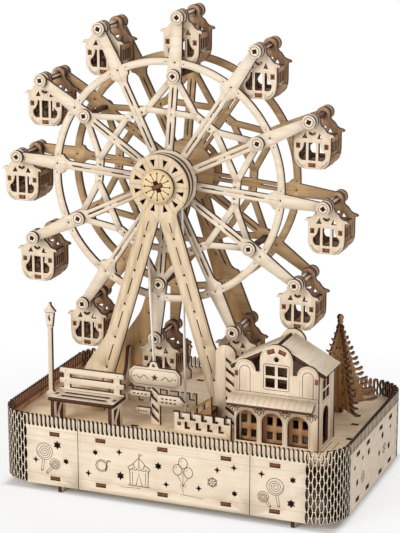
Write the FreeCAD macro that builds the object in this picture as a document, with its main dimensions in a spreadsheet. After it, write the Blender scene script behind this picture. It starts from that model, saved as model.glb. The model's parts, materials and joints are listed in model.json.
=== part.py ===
"""Hand-cranked Ferris wheel on a box base, a kit cut from 3 mm plywood.

Every piece is a flat sheet: a sketch on one of its body's own planes, padded by the
thickness in the sheet of sizes. The sizes sit in SIZES once, in millimetres, go into a
spreadsheet of the document, and drive the pads, the round holes and every placement.
X runs along the base, Y from the front to the back, Z up from the floor.
"""
import FreeCAD, Part
import Sketcher
import math
import os

SIZES = [
    # stock and fits
    ("sheet", 3.0, "plywood thickness"),
    ("slot_play", 0.05, "clearance on each side of a tab in its slot"),
    ("face_gap", 0.3, "gap between faces that move past each other"),
    ("run_play", 0.08, "radial clearance of a turning fit"),
    # box base
    ("base_length", 275.0, "outside, along X"),
    ("base_depth", 176.0, "outside, along Y"),
    ("base_corner", 26.0, "outside radius of the bent corners"),
    ("wall_bottom", 6.0, "lower edge of the walls above the floor"),
    ("wall_top", 61.5, "tops of the pickets"),
    ("floor_level", 10.4, "underside of the bottom plate"),
    ("deck_level", 46.2, "underside of the deck"),
    ("panel_half", 69.0, "half length of the front and back panels"),
    ("tab_width", 7.8, "deck and bottom tabs that show in the walls"),
    ("tab_near", 50.3, "tabs from the middle, front and back"),
    ("tab_far", 88.3, "outer tabs, front and back"),
    ("side_tab_near", 17.0, "tabs from the middle, sides"),
    ("side_tab_far", 42.8, "outer tabs, sides"),
    ("comb_pitch", 3.6, "picket to picket"),
    ("comb_slot", 1.3, "gap between pickets"),
    ("comb_depth", 8.5, "height of the pickets"),
    ("hinge_slot", 1.2, "width of a slot in the bent corners"),
    ("hinge_bridge", 3.0, "wood left between two slots of one column"),
    ("left_rail_x", -86.0, "left foot rail, from the middle"),
    ("right_rail_x", 101.4, "right foot rail, from the middle"),
    ("foot_toe", 3.0, "length of a foot on the floor"),
    # wheel
    ("hub_x", -25.8, "wheel axis from the middle of the base"),
    ("cabins_over_deck", 22.7, "from the deck to the lowest that a cabin can hang"),
    ("wheel_y", 5.2, "middle plane of the wheel"),
    ("first_arm", 25.6, "angle of the first arm above the level, degrees"),
    ("ring_outer", 94.0, "outer radius of the ring"),
    ("ring_width", 5.5, "of the ring, across"),
    ("tip_reach", 31.0, "cabin pins beyond the ring"),
    ("star_inset", 13.0, "six inner pins inside the ring's edge"),
    ("hub_plate_radius", 24.0, "where the arms start"),
    ("arm_half", 3.2, "half width of an arm inside the ring"),
    ("crossing_half", 5.2, "half width of an arm where it crosses the ring"),
    ("tip_half", 3.4, "half width of an arm at its tip"),
    ("collar_half", 7.4, "half width of the collar under the ring"),
    ("cap_radius", 5.25, "discs on the pin ends"),
    ("pin", 3.0, "side of a square pin end"),
    ("star_bar", 5.0, "width of the flat bars between the stars"),
    ("junction_radius", 56.5, "where the star's struts meet"),
    ("junction_angle", 20.6, "from the arm with the star pin, degrees"),
    ("strut_width", 4.6, "bars of the star"),
    ("bridge_width", 6.2, "short bars from the star to the plain arms"),
    # cabins
    ("cabin_depth", 27.4, "over both end plates"),
    ("cabin_half", 14.1, "half width of an end plate"),
    ("cabin_drop", 36.4, "bottom edge below the pin"),
    ("hook_reach", 16.9, "tip of an eave from the pin"),
    ("eave_drop", 9.8, "top of an eave below the pin"),
    ("cabin_panel_x", 10.85, "middle of a side panel from the pin"),
    # hub
    ("disc_radius", 13.0, "outer discs on the axle"),
    ("hub_bar", 8.4, "width of the axle's flat bars"),
    ("flange_radius", 23.0, "cheeks of the hub pulley"),
    ("groove_radius", 14.1, "bottom of the hub pulley's groove"),
    ("spacer_radius", 10.0, "discs between the wheel and the stand"),
    ("rear_spacers", 4.0, "count of discs behind the wheel"),
    # stand
    ("head_radius", 24.0, "round heads of the stand"),
    ("leg_angle", 16.8, "of each leg from the upright, degrees"),
    ("leg_width", 14.4, "of each leg"),
    ("foot_out", 71.0, "outer edge of a foot from the hub"),
    ("tenon", 12.0, "length of a foot's tenon in the deck"),
    ("truss_inner", 14.0, "points of the triangles round the head"),
    ("truss_outer", 20.3, "bases of those triangles"),
    ("truss_base", 3.5, "width of those triangles"),
    ("brace_x", -80.0, "brace between the left legs"),
    ("brace_height", 22.0, "of that brace above the deck"),
    # drive
    ("crank_x", -19.0, "crank axis from the middle of the base"),
    ("crank_height", 29.8, "crank axis above the floor"),
    ("shaft_radius", 3.0, "crank shaft"),
    ("crank_flange", 15.3, "cheeks of the crank pulley"),
    ("crank_groove", 10.7, "bottom of the crank pulley's groove"),
    ("belt_gap", 0.3, "belt clear of the grooves"),
    ("belt_thick", 1.6, "belt, across the pulleys"),
    ("belt_wide", 2.4, "belt, along the axles"),
    ("bearing_half", 20.0, "half width of a bearing plate"),
    ("crank_throw", 22.0, "shaft to knob"),
    ("crank_arm_half", 5.0, "half width of the crank arm"),
    ("knob_radius", 4.0, "crank knob"),
    ("knob_length", 14.0, "crank knob"),
    # fairground scene
    ("bench_left", -98.8, "left end of the bench"),
    ("bench_right", -45.0, "right end of the bench"),
    ("bench_inset", 12.0, "front edge of the seat, behind the face of the front wall"),
    ("bench_deep", 21.0, "front edge of the seat to the backrest"),
    ("seat_top", 72.7, "top of the seat above the floor"),
    ("backrest_top", 90.0, "top of the backrest above the floor"),
    ("lamp_inset", 15.5, "middle of the street lamp, from the left end of the base"),
    ("lamp_y", -23.5, "its front face"),
    ("lamp_top", 130.0, "finial above the floor"),
    ("rear_lamp_x", -42.7, "small lamp at the back"),
    ("rear_lamp_y", 66.0, "its front face"),
    ("rear_lamp_top", 83.0, "its finial above the floor"),
    ("sign_x", -23.5, "middle of the sign's pole"),
    ("sign_y", -44.9, "front face of the pole"),
    ("sign_top", 101.0, "loop on the board above the floor"),
    ("pole_width", 7.3, "of the striped pole"),
    ("front_fence_left", -2.7, "low wall in front"),
    ("front_fence_right", 38.3, "low wall in front"),
    ("front_fence_top", 67.0, "above the floor"),
    ("front_fence_y", -58.0, "its front face"),
    ("rear_fence_left", -66.0, "low wall under the wheel"),
    ("rear_fence_right", -8.0, "low wall under the wheel"),
    ("rear_fence_top", 60.8, "above the floor"),
    ("rear_fence_y", 0.5, "its front face"),
    ("stair_left", 4.0, "foot of the stairs"),
    ("stair_y", -50.0, "front face of the stairs"),
    ("step_rise", 4.6, "one step"),
    ("step_going", 5.0, "one step"),
    ("stair_wide", 8.0, "between the stringers"),
    ("tower_left", 22.0, "striped tower"),
    ("tower_right", 38.0, "striped tower"),
    ("tower_top", 117.0, "above the floor"),
    ("house_left", 46.0, "house front"),
    ("house_right", 111.0, "house front"),
    ("house_front_y", -59.0, "its front face"),
    ("house_rear_y", -18.4, "rear face of the house"),
    ("house_eave", 108.2, "tops of the side walls"),
    ("house_storey", 88.0, "where the upper front starts"),
    ("house_ridge", 129.4, "top of the front gable"),
    ("gable_radius", 12.9, "round top of the gable"),
    ("lobe_radius", 8.2, "round tops beside the gable"),
    ("arch_width", 16.3, "arcade opening"),
    ("arch_pitch", 20.1, "arch to arch"),
    ("arch_top", 76.3, "above the floor"),
    ("roof_top", 129.0, "ridge above the floor"),
    ("roof_run", 37.5, "half span of the roof"),
    ("roof_fall", 20.0, "ridge to eave"),
    ("awning_reach", 8.3, "in front of the wall"),
    ("tree_x", 107.0, "trunk"),
    ("tree_y", 34.3, "trunk"),
    ("tree_top", 127.0, "above the floor"),
    ("tree_half", 24.0, "reach of the lowest branches"),
]

V = {name: size for name, size, use in SIZES}

# sizes that follow others: a share of one size, and one more size added or taken off
FOLLOWING = (
    ("ring_inner", 1, "ring_outer", "-", "ring_width"),
    ("tip_radius", 1, "ring_outer", "+", "tip_reach"),
    ("star_radius", 1, "ring_outer", "-", "star_inset"),
    ("bench_front", -0.5, "base_depth", "+", "bench_inset"),
    ("bench_back_y", 1, "bench_front", "+", "bench_deep"),
    ("lamp_x", -0.5, "base_length", "+", "lamp_inset"),
    ("deck_top", 1, "deck_level", "+", "sheet"),
    ("lowest_cabin", 1, "deck_top", "+", "cabins_over_deck"),
    ("lowest_pin", 1, "lowest_cabin", "+", "cabin_drop"),
    ("hub_height", 1, "lowest_pin", "+", "tip_radius"),
)
for name, share, start, sign, step in FOLLOWING:
    V[name] = share * V[start] + (V[step] if sign == "+" else -V[step])

FLOOR_TOP = V["floor_level"] + V["sheet"]
DECK_TOP = V["deck_top"]
HALF_X = V["base_length"] / 2
HALF_Y = V["base_depth"] / 2
STEP = 30.0
ARMS = 12

doc = FreeCAD.newDocument("FerrisWheel")
table = doc.addObject("Spreadsheet::Sheet", "Sizes")
for row, (name, size, use) in enumerate(SIZES, 1):
    table.set("A%d" % row, name)
    table.set("B%d" % row, str(size))
    table.set("C%d" % row, use)
    table.setAlias("B%d" % row, name)
for row, (name, share, start, sign, step) in enumerate(FOLLOWING, 190):
    table.set("A%d" % row, name)
    table.set("B%d" % row, "=%g * %s %s %s" % (share, start, sign, step))
    table.setAlias("B%d" % row, name)

# the box of the whole object is centred on X and Y: the leftmost hook and the crank
# knob stick out past the base, so everything is moved by half of what they add
LEVEL_TIP = math.radians(V["first_arm"] - STEP)
LEFT_REACH = -(V["hub_x"] - V["tip_radius"] * math.cos(LEVEL_TIP) - V["hook_reach"])
SHIFT_X = (LEFT_REACH - HALF_X) / 2
CRANK_REACH = V["face_gap"] + V["sheet"] + V["knob_length"]
SHIFT_Y = -CRANK_REACH / 2
table.set("A200", "shift_x")
table.set("B200", "=(-hub_x + tip_radius * cos((first_arm - 30) * 1deg) + hook_reach"
          " - base_length / 2) / 2")
table.setAlias("B200", "shift_x")
table.set("A201", "shift_y")
table.set("B201", "=-(face_gap + sheet + knob_length) / 2")
table.setAlias("B201", "shift_y")
doc.recompute()


def vec(x, y):
    return FreeCAD.Vector(x, y, 0)


def turned(point, degrees):
    """The point turned about the sketch's origin."""
    angle = math.radians(degrees)
    x, y = point[0], point[1]
    return (x * math.cos(angle) - y * math.sin(angle),
            x * math.sin(angle) + y * math.cos(angle)) + tuple(point[2:])


def meet(p, d, q, e):
    """Where the line through p along d meets the line through q along e."""
    scale = d[0] * e[1] - d[1] * e[0]
    along = ((q[0] - p[0]) * e[1] - (q[1] - p[1]) * e[0]) / scale
    return (p[0] + along * d[0], p[1] + along * d[1])


def mirrored(points):
    """A half outline, from bottom to top on the right, closed with its mirror."""
    return points + [(-x, y) + tuple(rest) for x, y, *rest in reversed(points)]


def box(left, low, right, high):
    return [(left, low), (right, low), (right, high), (left, high)]


def bend(start, end, centre, flats):
    """Points on the short arc from start to end round a centre, both ends included."""
    a = FreeCAD.Vector(start[0] - centre[0], start[1] - centre[1], 0)
    b = FreeCAD.Vector(end[0] - centre[0], end[1] - centre[1], 0)
    turn = a.getAngle(b)
    points = []
    for k in range(flats + 1):
        left = math.sin((1 - k / flats) * turn) / math.sin(turn)
        right = math.sin(k / flats * turn) / math.sin(turn)
        points.append((centre[0] + a.x * left + b.x * right,
                       centre[1] + a.y * left + b.y * right))
    return points


def outline(points):
    """Edges of a closed outline. A third number on a point is its corner's radius, and
    the round is drawn in flats of up to thirty degrees."""
    path = []
    count = len(points)
    for i, point in enumerate(points):
        if len(point) < 3:
            path.append(point)
            continue
        x, y, radius = point
        before = points[i - 1]
        after = points[(i + 1) % count]
        a = FreeCAD.Vector(before[0] - x, before[1] - y, 0).normalize()
        b = FreeCAD.Vector(after[0] - x, after[1] - y, 0).normalize()
        half = a.getAngle(b) / 2
        reach = radius / math.tan(half)
        middle = (a + b).normalize() * (radius / math.sin(half))
        flats = max(2, math.ceil((180 - 2 * math.degrees(half)) / 30 - 0.01))
        path += bend((x + a.x * reach, y + a.y * reach), (x + b.x * reach, y + b.y * reach),
                     (x + middle.x, y + middle.y), flats)
    edges = []
    for i, end in enumerate(path):
        start = path[i - 1]
        if math.dist(start, end) > 1e-6:
            edges.append(Part.LineSegment(vec(start[0], start[1]), vec(end[0], end[1])))
    return edges


def circle(x, y, size):
    """A circle bound to one named size."""
    return bound_circle(x, y, V[size], "Sizes." + size)


def bound_circle(x, y, radius, expression):
    """A circle of this radius, bound to an expression of the sheet."""
    return ("circle", x, y, radius, expression)


def add_sketch(body, plane, loops, lift=None):
    """A sketch on one of the body's own planes, with outlines and named circles."""
    sketch = body.newObject("Sketcher::SketchObject", body.Name + "Sketch")
    own = [item for item in body.Origin.OriginFeatures if item.Role == plane][0]
    sketch.AttachmentSupport = [(own, "")]
    sketch.MapMode = "FlatFace"
    if lift:
        sketch.setExpression("AttachmentOffset.Base.z", lift)
    for loop in loops:
        if loop and loop[0] == "circle":
            mark, x, y, radius, expression = loop
            ring = sketch.addGeometry(
                Part.Circle(vec(x, y), FreeCAD.Vector(0, 0, 1), radius), False)
            rule = sketch.addConstraint(Sketcher.Constraint("Radius", ring, radius))
            sketch.setExpression("Constraints[%d]" % rule, expression)
        elif loop and not isinstance(loop[0], tuple):
            sketch.addGeometry(loop, False)
        else:
            sketch.addGeometry(outline(loop), False)
    return sketch


def new_body(label):
    body = doc.addObject("PartDesign::Body", label)
    body.Label = label
    body.AllowCompound = True
    return body


def place(body, x="0", y="0", z="0"):
    """Put a body by expressions, from the middle of the base and the floor."""
    body.setExpression("Placement.Base.x", "Sizes.shift_x + (%s)" % x)
    body.setExpression("Placement.Base.y", "Sizes.shift_y + (%s)" % y)
    body.setExpression("Placement.Base.z", z)


def pad(body, sketch, length="Sizes.sheet", back=False):
    """Pad away from the viewer for upright sheets seen from the front."""
    feature = body.newObject("PartDesign::Pad", body.Name + "Pad")
    feature.Profile = sketch
    feature.setExpression("Length", length)
    feature.Reversed = back
    sketch.Visibility = False
    body.Tip = feature
    return feature


def pocket(body, sketch, length=None, back=False, both=False):
    """Cut through everything, or a given depth."""
    feature = body.newObject("PartDesign::Pocket", body.Name + "Pocket")
    feature.Profile = sketch
    if length:
        feature.setExpression("Length", length)
    else:
        feature.Type = "ThroughAll"
    feature.Midplane = both
    feature.Reversed = back
    sketch.Visibility = False
    body.Tip = feature
    return feature


def upright(label, loops, x="0", y="0", z="0", length="Sizes.sheet"):
    """A sheet in the XZ plane: y is its front face, and it runs back from there."""
    body = new_body(label)
    pad(body, add_sketch(body, "XZ_Plane", loops), length, back=True)
    place(body, x, y, z)
    return body


def crossways(label, loops, x="0", y="0", z="0", length="Sizes.sheet"):
    """A sheet in the YZ plane: x is its left face. Its outline is drawn in (y, z)."""
    body = new_body(label)
    pad(body, add_sketch(body, "YZ_Plane", loops), length)
    place(body, x, y, z)
    return body


def level(label, loops, x="0", y="0", z="0", length="Sizes.sheet"):
    """A sheet lying flat: z is its underside. Its outline is drawn in (x, y)."""
    body = new_body(label)
    pad(body, add_sketch(body, "XY_Plane", loops), length)
    place(body, x, y, z)
    return body


def pattern(body, count):
    """Repeat the last feature round the body's Y axis."""
    feature = body.newObject("PartDesign::PolarPattern", body.Name + "Pattern")
    feature.Originals = [body.Tip]
    own = [item for item in body.Origin.OriginFeatures if item.Role == "Y_Axis"][0]
    feature.Axis = (own, [""])
    feature.Angle = 360
    feature.Occurrences = count
    body.Tip = feature
    return feature


NODES = []


def node(label, pieces):
    """Name one exported sub-part: a body, or several bodies in a compound."""
    if len(pieces) == 1:
        item = pieces[0]
    else:
        item = doc.addObject("Part::Compound", "Node_" + label)
        item.Links = pieces
    item.Label = label
    NODES.append(item)
    return item


# the y of each sheet in the wheel, from its middle plane outwards
WASHER = "(Sizes.cabin_depth / 2 + Sizes.face_gap)"
ARM = "(%s + Sizes.sheet)" % WASHER
CAP = "(%s + 2 * Sizes.sheet)" % WASHER
SPACER = CAP
FLANGE = "(%s + 3 * Sizes.sheet)" % WASHER
CORE = "(%s + 4 * Sizes.sheet)" % WASHER
OUTER_FLANGE = "(%s + 5 * Sizes.sheet)" % WASHER
STAND = "(%s + 6 * Sizes.sheet + Sizes.face_gap)" % WASHER
DISC = "(%s + 7 * Sizes.sheet + 2 * Sizes.face_gap)" % WASHER
REAR_STAND = "(%s + (2 + Sizes.rear_spacers) * Sizes.sheet + Sizes.face_gap)" % WASHER
REAR_DISC = "(%s + (3 + Sizes.rear_spacers) * Sizes.sheet + 2 * Sizes.face_gap)" % WASHER


def wheel_sheet(label, loops, offset, side, length="Sizes.sheet"):
    """A sheet of the wheel: offset is its inner face from the middle plane, and side is
    -1 in front and 1 behind. The sketch's level direction is the first arm."""
    body = new_body(label)
    pad(body, add_sketch(body, "XZ_Plane", loops), length, back=True)
    face = "Sizes.wheel_y + %s" % offset
    if side < 0:
        face = "Sizes.wheel_y - %s - %s" % (offset, length)
    place(body, "Sizes.hub_x", face, "Sizes.hub_height")
    body.Placement = FreeCAD.Placement(
        FreeCAD.Vector(0, 0, 0),
        FreeCAD.Rotation(FreeCAD.Vector(0, -1, 0), V["first_arm"]))
    body.setExpression("Placement.Rotation.Angle", "Sizes.first_arm * 1deg")
    return body


def disc_flats(x, y, radius, sides):
    """A small round outline with this many flats, as wide over corners as the circle."""
    corners = [turned((radius, 0), 360 * (k + 0.5) / sides) for k in range(sides)]
    return [(x + dx, y + dy) for dx, dy in corners]


def clear_flats(radius, sides):
    """A round opening with this many flats, all of them outside the circle."""
    return disc_flats(0, 0, radius / math.cos(math.pi / sides), sides)


def pin_hole(radius, degrees, play):
    """A square hole on its point, for a pin end."""
    half = V["pin"] / 2 + play
    x, y = turned((radius, 0), degrees)
    return [(x + dx, y + dy) for dx, dy in
            (turned(corner, degrees + 45) for corner in box(-half, -half, half, half))]


def cross_hole(play):
    """The hole for the axle: a flat bar along the first arm and half bars across it."""
    long = V["hub_bar"] / 2 + play
    thin = V["sheet"] / 2 + play
    return [(long, -thin), (long, thin), (thin, thin), (thin, long), (-thin, long),
            (-thin, thin), (-long, thin), (-long, -thin), (-thin, -thin),
            (-thin, -long), (thin, -long), (thin, -thin)]


def on_circle(radius, offset):
    """Where a line at this offset beside an arm's axis crosses a circle."""
    return math.sqrt(radius ** 2 - offset ** 2)


# the star's struts, each from a star arm to the junction beside it
STAR_OUT = (V["star_radius"], 0)
JUNCTION = turned((V["junction_radius"], 0), V["junction_angle"])
STRUT_DIR = (JUNCTION[0] - STAR_OUT[0], JUNCTION[1] - STAR_OUT[1])
STRUT_LONG = math.hypot(*STRUT_DIR)
STRUT_SIDE = (-STRUT_DIR[1] / STRUT_LONG * V["strut_width"] / 2,
              STRUT_DIR[0] / STRUT_LONG * V["strut_width"] / 2)
STRUT_LOW = (STAR_OUT[0] + STRUT_SIDE[0], STAR_OUT[1] + STRUT_SIDE[1])
STRUT_HIGH = (STAR_OUT[0] - STRUT_SIDE[0], STAR_OUT[1] - STRUT_SIDE[1])
WIDE_HALF = V["arm_half"] + 2.4
LEAVES_ARM = meet(STRUT_LOW, STRUT_DIR, (0, V["arm_half"]), (1, 0))
MEETS_WIDE = meet(STRUT_HIGH, STRUT_DIR, (0, WIDE_HALF), (1, 0))


def star_arm():
    """An arm that carries a star pin: it widens where the struts leave it."""
    outer = on_circle(V["ring_outer"], V["crossing_half"])
    side = [(V["hub_plate_radius"], V["arm_half"]), LEAVES_ARM, MEETS_WIDE,
            (V["star_radius"] + 3, V["crossing_half"]), (outer, V["crossing_half"])]
    return arm_outline(side)


def plain_arm():
    """An arm between the star pins, with a collar under the ring."""
    inner = on_circle(V["ring_inner"], V["collar_half"])
    outer = on_circle(V["ring_outer"], V["crossing_half"])
    side = [(V["hub_plate_radius"], V["arm_half"]), (inner - 6, V["arm_half"]),
            (inner - 2.2, V["collar_half"]), (inner, V["collar_half"]),
            (inner, V["crossing_half"]), (outer, V["crossing_half"])]
    return arm_outline(side)


def arm_outline(side):
    """An arm from one side's points, its mirror and a rounded tip under the cap."""
    half = V["tip_half"]
    tip = [turned((half, 0), angle) for angle in (75, 25)]
    right = side + [(V["tip_radius"] + x, y) for x, y in tip]
    return right + [(x, -y) for x, y in reversed(right)]


def arm_slots(degrees, spans):
    half = 0.6
    return [[turned(corner, degrees) for corner in box(low, -half, high, half)]
            for low, high in spans]


def build_wheel_face(name, side):
    """The coplanar sheet of one side: hub plate, arms, ring and star, edge to edge."""
    half = V["arm_half"]
    edge = V["hub_plate_radius"]
    plate = []
    for k in range(ARMS):
        plate += [turned((edge, -half), k * STEP), turned((edge, half), k * STEP)]
    hub_plate = wheel_sheet(name + "_hub_plate", [plate, cross_hole(0)], ARM, side)

    play = V["slot_play"]
    loops = [star_arm(), pin_hole(V["tip_radius"], 0, play),
             pin_hole(V["star_radius"], 0, play)]
    loops += arm_slots(0, [(28, 48)])
    loops += [[turned(p, STEP) for p in plain_arm()], pin_hole(V["tip_radius"], STEP, play)]
    loops += arm_slots(STEP, [(28, 48)])
    arms = wheel_sheet(name + "_arms", loops, ARM, side)
    pattern(arms, ARMS // 2)

    rim = []
    for radius in (V["ring_inner"], V["ring_outer"]):
        start = (on_circle(radius, V["crossing_half"]), V["crossing_half"])
        stop = turned((start[0], -start[1]), STEP)
        flats = bend(start, stop, (0, 0), 3)
        rim += flats if not rim else flats[::-1]
    ring = wheel_sheet(name + "_ring", [rim], ARM, side)
    pattern(ring, ARMS)

    fork = star_fork()
    forks = wheel_sheet(name + "_forks", [fork, [(x, -y) for x, y in fork]], ARM, side)
    pattern(forks, ARMS // 2)
    for part, body in (("hub_plate", hub_plate), ("arms", arms), ("ring", ring),
                       ("star", forks)):
        node("%s_%s" % (name, part), [body])


def star_fork():
    """Three bars in one outline beside a star arm: the chord from that arm, the strut
    from its pin and the bridge to the plain arm meet at the junction."""
    half = V["arm_half"]
    radial = turned((1, 0), V["junction_angle"])
    chord_low = JUNCTION[0] - V["strut_width"] / 2
    chord_high = JUNCTION[0] + V["strut_width"] / 2
    across = (0, 1)
    bridge_mid = turned(JUNCTION, -STEP)[0]
    bridge = []
    for level_u in (bridge_mid - V["bridge_width"] / 2, bridge_mid + V["bridge_width"] / 2):
        start = turned((level_u, -half), STEP)
        bridge.append((start, meet(start, turned(across, STEP), (0, 0), radial)))
    low_end = meet((chord_low, 0), across, (0, 0), radial)
    strut_in = meet(STRUT_LOW, STRUT_DIR, (chord_high, 0), across)
    strut_out = meet(STRUT_HIGH, STRUT_DIR, bridge[1][1], turned(across, STEP))
    return [(chord_low, half), (chord_high, half), strut_in, LEAVES_ARM, MEETS_WIDE,
            strut_out, bridge[1][0], bridge[0][0], bridge[0][1], low_end]


def pin_caps(label, side):
    """Discs that close the pin ends. They repeat 36 times, so each is drawn with eight
    flats and without the pin's square."""
    loops = []
    for radius, degrees in ((V["tip_radius"], 0), (V["tip_radius"], STEP),
                            (V["star_radius"], 0)):
        x, y = turned((radius, 0), degrees)
        loops.append(disc_flats(x, y, V["cap_radius"], 8))
    body = wheel_sheet(label, loops, CAP, side)
    pattern(body, ARMS // 2)
    return body


def build_wheel():
    for name, side in (("front", -1), ("rear", 1)):
        build_wheel_face(name, side)
        node(name + "_caps", [pin_caps(name + "_discs", side)])

    through = "2 * %s" % CAP
    loops = [pin_hole(V["tip_radius"], 0, 0), pin_hole(V["tip_radius"], STEP, 0)]
    pins = wheel_sheet("cabin_pins", loops, CAP, -1, length=through)
    pins.setExpression("Placement.Base.y", "Sizes.shift_y + Sizes.wheel_y - %s" % CAP)
    pattern(pins, ARMS // 2)
    node("cabin_pins", [pins])

    star_pins = []
    core_length = "2 * %s" % ARM
    bar = [turned(p, 45) for p in box(-V["star_bar"] / 2, -V["pin"] / 2,
                                      V["star_bar"] / 2, V["pin"] / 2)]
    bar = [(x + V["star_radius"], y) for x, y in bar]
    middle = wheel_sheet("star_bars", [bar], ARM, -1, length=core_length)
    middle.setExpression("Placement.Base.y", "Sizes.shift_y + Sizes.wheel_y - %s" % ARM)
    pattern(middle, ARMS // 2)
    star_pins.append(middle)
    for name, side in (("front", -1), ("rear", 1)):
        end = wheel_sheet("star_pins_" + name, [pin_hole(V["star_radius"], 0, 0)], ARM, side)
        pattern(end, ARMS // 2)
        star_pins.append(end)
    node("star_pins", star_pins)


def build_hub():
    """The pulley in front, the discs outside the stand and the axle of flat bars."""
    hole = cross_hole(0)
    pulley = []
    for size, offset, flats in (("flange_radius", OUTER_FLANGE, 24), ("groove_radius", CORE, 16),
                                ("flange_radius", FLANGE, 24), ("spacer_radius", SPACER, 12)):
        pulley.append(wheel_sheet("hub_disc_%d" % len(pulley),
                                  [disc_flats(0, 0, V[size], flats), hole], offset, -1))
    rear = wheel_sheet("hub_rear_spacers", [disc_flats(0, 0, V["spacer_radius"], 12), hole],
                       SPACER, 1, length="Sizes.rear_spacers * Sizes.sheet")
    node("hub_pulley", pulley + [rear])

    disc = disc_flats(0, 0, V["disc_radius"], 16)
    front = wheel_sheet("front_disc", [disc, hole], DISC, -1)
    back = wheel_sheet("rear_disc", [disc, hole], REAR_DISC, 1)
    node("hub_discs", [front, back])

    half = V["hub_bar"] / 2
    thin = V["sheet"] / 2
    whole = "(%s + %s + 2 * Sizes.sheet)" % (DISC, REAR_DISC)
    loops = [box(-half, -thin, half, thin)]
    bars = wheel_sheet("axle_bar", loops, DISC, -1, length=whole)
    bars.setExpression("Placement.Base.y",
                       "Sizes.shift_y + Sizes.wheel_y - %s - Sizes.sheet" % DISC)
    cross = wheel_sheet("axle_half_bars",
                        [box(-thin, thin, thin, half), box(-thin, -half, thin, -thin)],
                        DISC, -1, length="(%s - 2 * Sizes.sheet)" % whole)
    cross.setExpression("Placement.Base.y", "Sizes.shift_y + Sizes.wheel_y - %s" % DISC)
    node("hub_axle", [bars, cross])


def cabin_plate(label):
    """An end plate: a lobe round the pin, two hooked eaves and a narrowed foot. There are
    24 of them, so the rounded stretches have few points and the bore six flats, which
    touch the circle that the pin's corners need."""
    half = V["cabin_half"]
    drop = V["cabin_drop"]
    hook = V["hook_reach"]
    eave = V["eave_drop"]
    lobe = V["cap_radius"] + 0.2
    side = [(half - 6.6, -drop), (half - 0.8, -drop + 5.6), (half, -eave - 3.2),
            (hook, -eave - 2.4), (hook - 2.2, -eave), (half - 5.2, -eave + 4.6),
            (lobe * 0.97, lobe * 0.25), (lobe * 0.4, lobe * 0.96)]
    bore = V["pin"] / 2 * math.sqrt(2) + V["run_play"]
    top = -16.9
    low = -30.1
    window = [(-4.75, top), (-6.2, top), (-10.1, -25.0), (-8.6, low), (-4.75, low)]
    loops = [mirrored(side), clear_flats(bore, 6), box(-2.8, low, 2.8, top), window,
             [(-x, y) for x, y in window]]
    body = new_body(label)
    pad(body, add_sketch(body, "XZ_Plane", loops), back=True)
    return body


def build_cabins():
    """One cabin drawn with its pin at the origin, then twelve placed copies."""
    front = cabin_plate("cabin_front")
    front.setExpression("Placement.Base.y", "-Sizes.cabin_depth / 2")
    back = cabin_plate("cabin_back")
    back.setExpression("Placement.Base.y", "Sizes.cabin_depth / 2 - Sizes.sheet")
    x = V["cabin_panel_x"]
    t = V["sheet"] / 2
    low = -V["cabin_drop"] + 1.3
    top = -V["eave_drop"] - 3.6
    slant = [(x - 5.0, low + 0.4), (x + t, low + 6.4), (x + t, low + 9.0)]
    walls = [box(x - t, low + 9.4, x + t, top), box(-x - t, low + 9.4, -x + t, top),
             box(-x + 5.3, low, x - 5.3, low + 3.0)]
    inner = new_body("cabin_walls")
    sketch = add_sketch(inner, "XZ_Plane", walls + [slant, [(-px, py) for px, py in slant]])
    pad(inner, sketch, "Sizes.cabin_depth - 2 * Sizes.sheet", back=True)
    inner.setExpression("Placement.Base.y", "-Sizes.cabin_depth / 2 + Sizes.sheet")
    template = doc.addObject("Part::Compound", "CabinTemplate")
    template.Links = [front, back, inner]
    for k in range(ARMS):
        cabin = doc.addObject("Part::Compound", "Cabin%02d" % (k + 1))
        cabin.Links = [template]
        angle = "((Sizes.first_arm + %g) * 1deg)" % (k * STEP)
        place(cabin, "Sizes.hub_x + Sizes.tip_radius * cos(%s)" % angle, "Sizes.wheel_y",
              "Sizes.hub_height + Sizes.tip_radius * sin(%s)" % angle)
        cabin.Label = "cabin_%02d" % (k + 1)
        NODES.append(cabin)


HEAD_FLATS = 16


def stand_outline():
    """A round head on two legs with flared feet and a tenon under each foot."""
    lean = math.radians(V["leg_angle"])
    half = V["leg_width"] / 2
    head = V["head_radius"]
    fillet = 6.0
    drop = V["hub_height"] - DECK_TOP
    tenon = V["sheet"]

    def on_leg(along, beside):
        return (along * math.sin(lean) + beside * math.cos(lean),
                -along * math.cos(lean) + beside * math.sin(lean))

    along = math.sqrt((head + fillet) ** 2 - (half + fillet) ** 2)
    middle = on_leg(along, half + fillet)
    on_head = (middle[0] * head / (head + fillet), middle[1] * head / (head + fillet))
    on_edge = on_leg(along, half)
    down = on_leg(1, 0)
    flare = meet(on_edge, down, (0, -drop + 63), (1, 0))
    inner = meet(on_leg(0, -half), down, (0, -drop), (1, 0))
    apex = meet(on_leg(0, -half), down, (0, 0), (0, 1))
    foot = V["foot_out"]
    centre = (foot + inner[0]) / 2
    reach = V["tenon"] / 2
    side = bend(on_head, on_edge, middle, 3)
    side += [flare + (40,), (foot - 7, -drop + 34, 40), (foot, -drop),
             (centre + reach, -drop), (centre + reach, -drop - tenon),
             (centre - reach, -drop - tenon), (centre - reach, -drop), inner]
    start = math.degrees(math.atan2(on_head[1], on_head[0]))
    head_flats = [turned((head, 0), 180 - start - (180 - 2 * start) * k / HEAD_FLATS)
                  for k in range(1, HEAD_FLATS)]
    left = [(-p[0],) + tuple(p[1:]) for p in reversed(side)]
    return side + [apex + (1.2,)] + left + head_flats, centre


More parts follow.
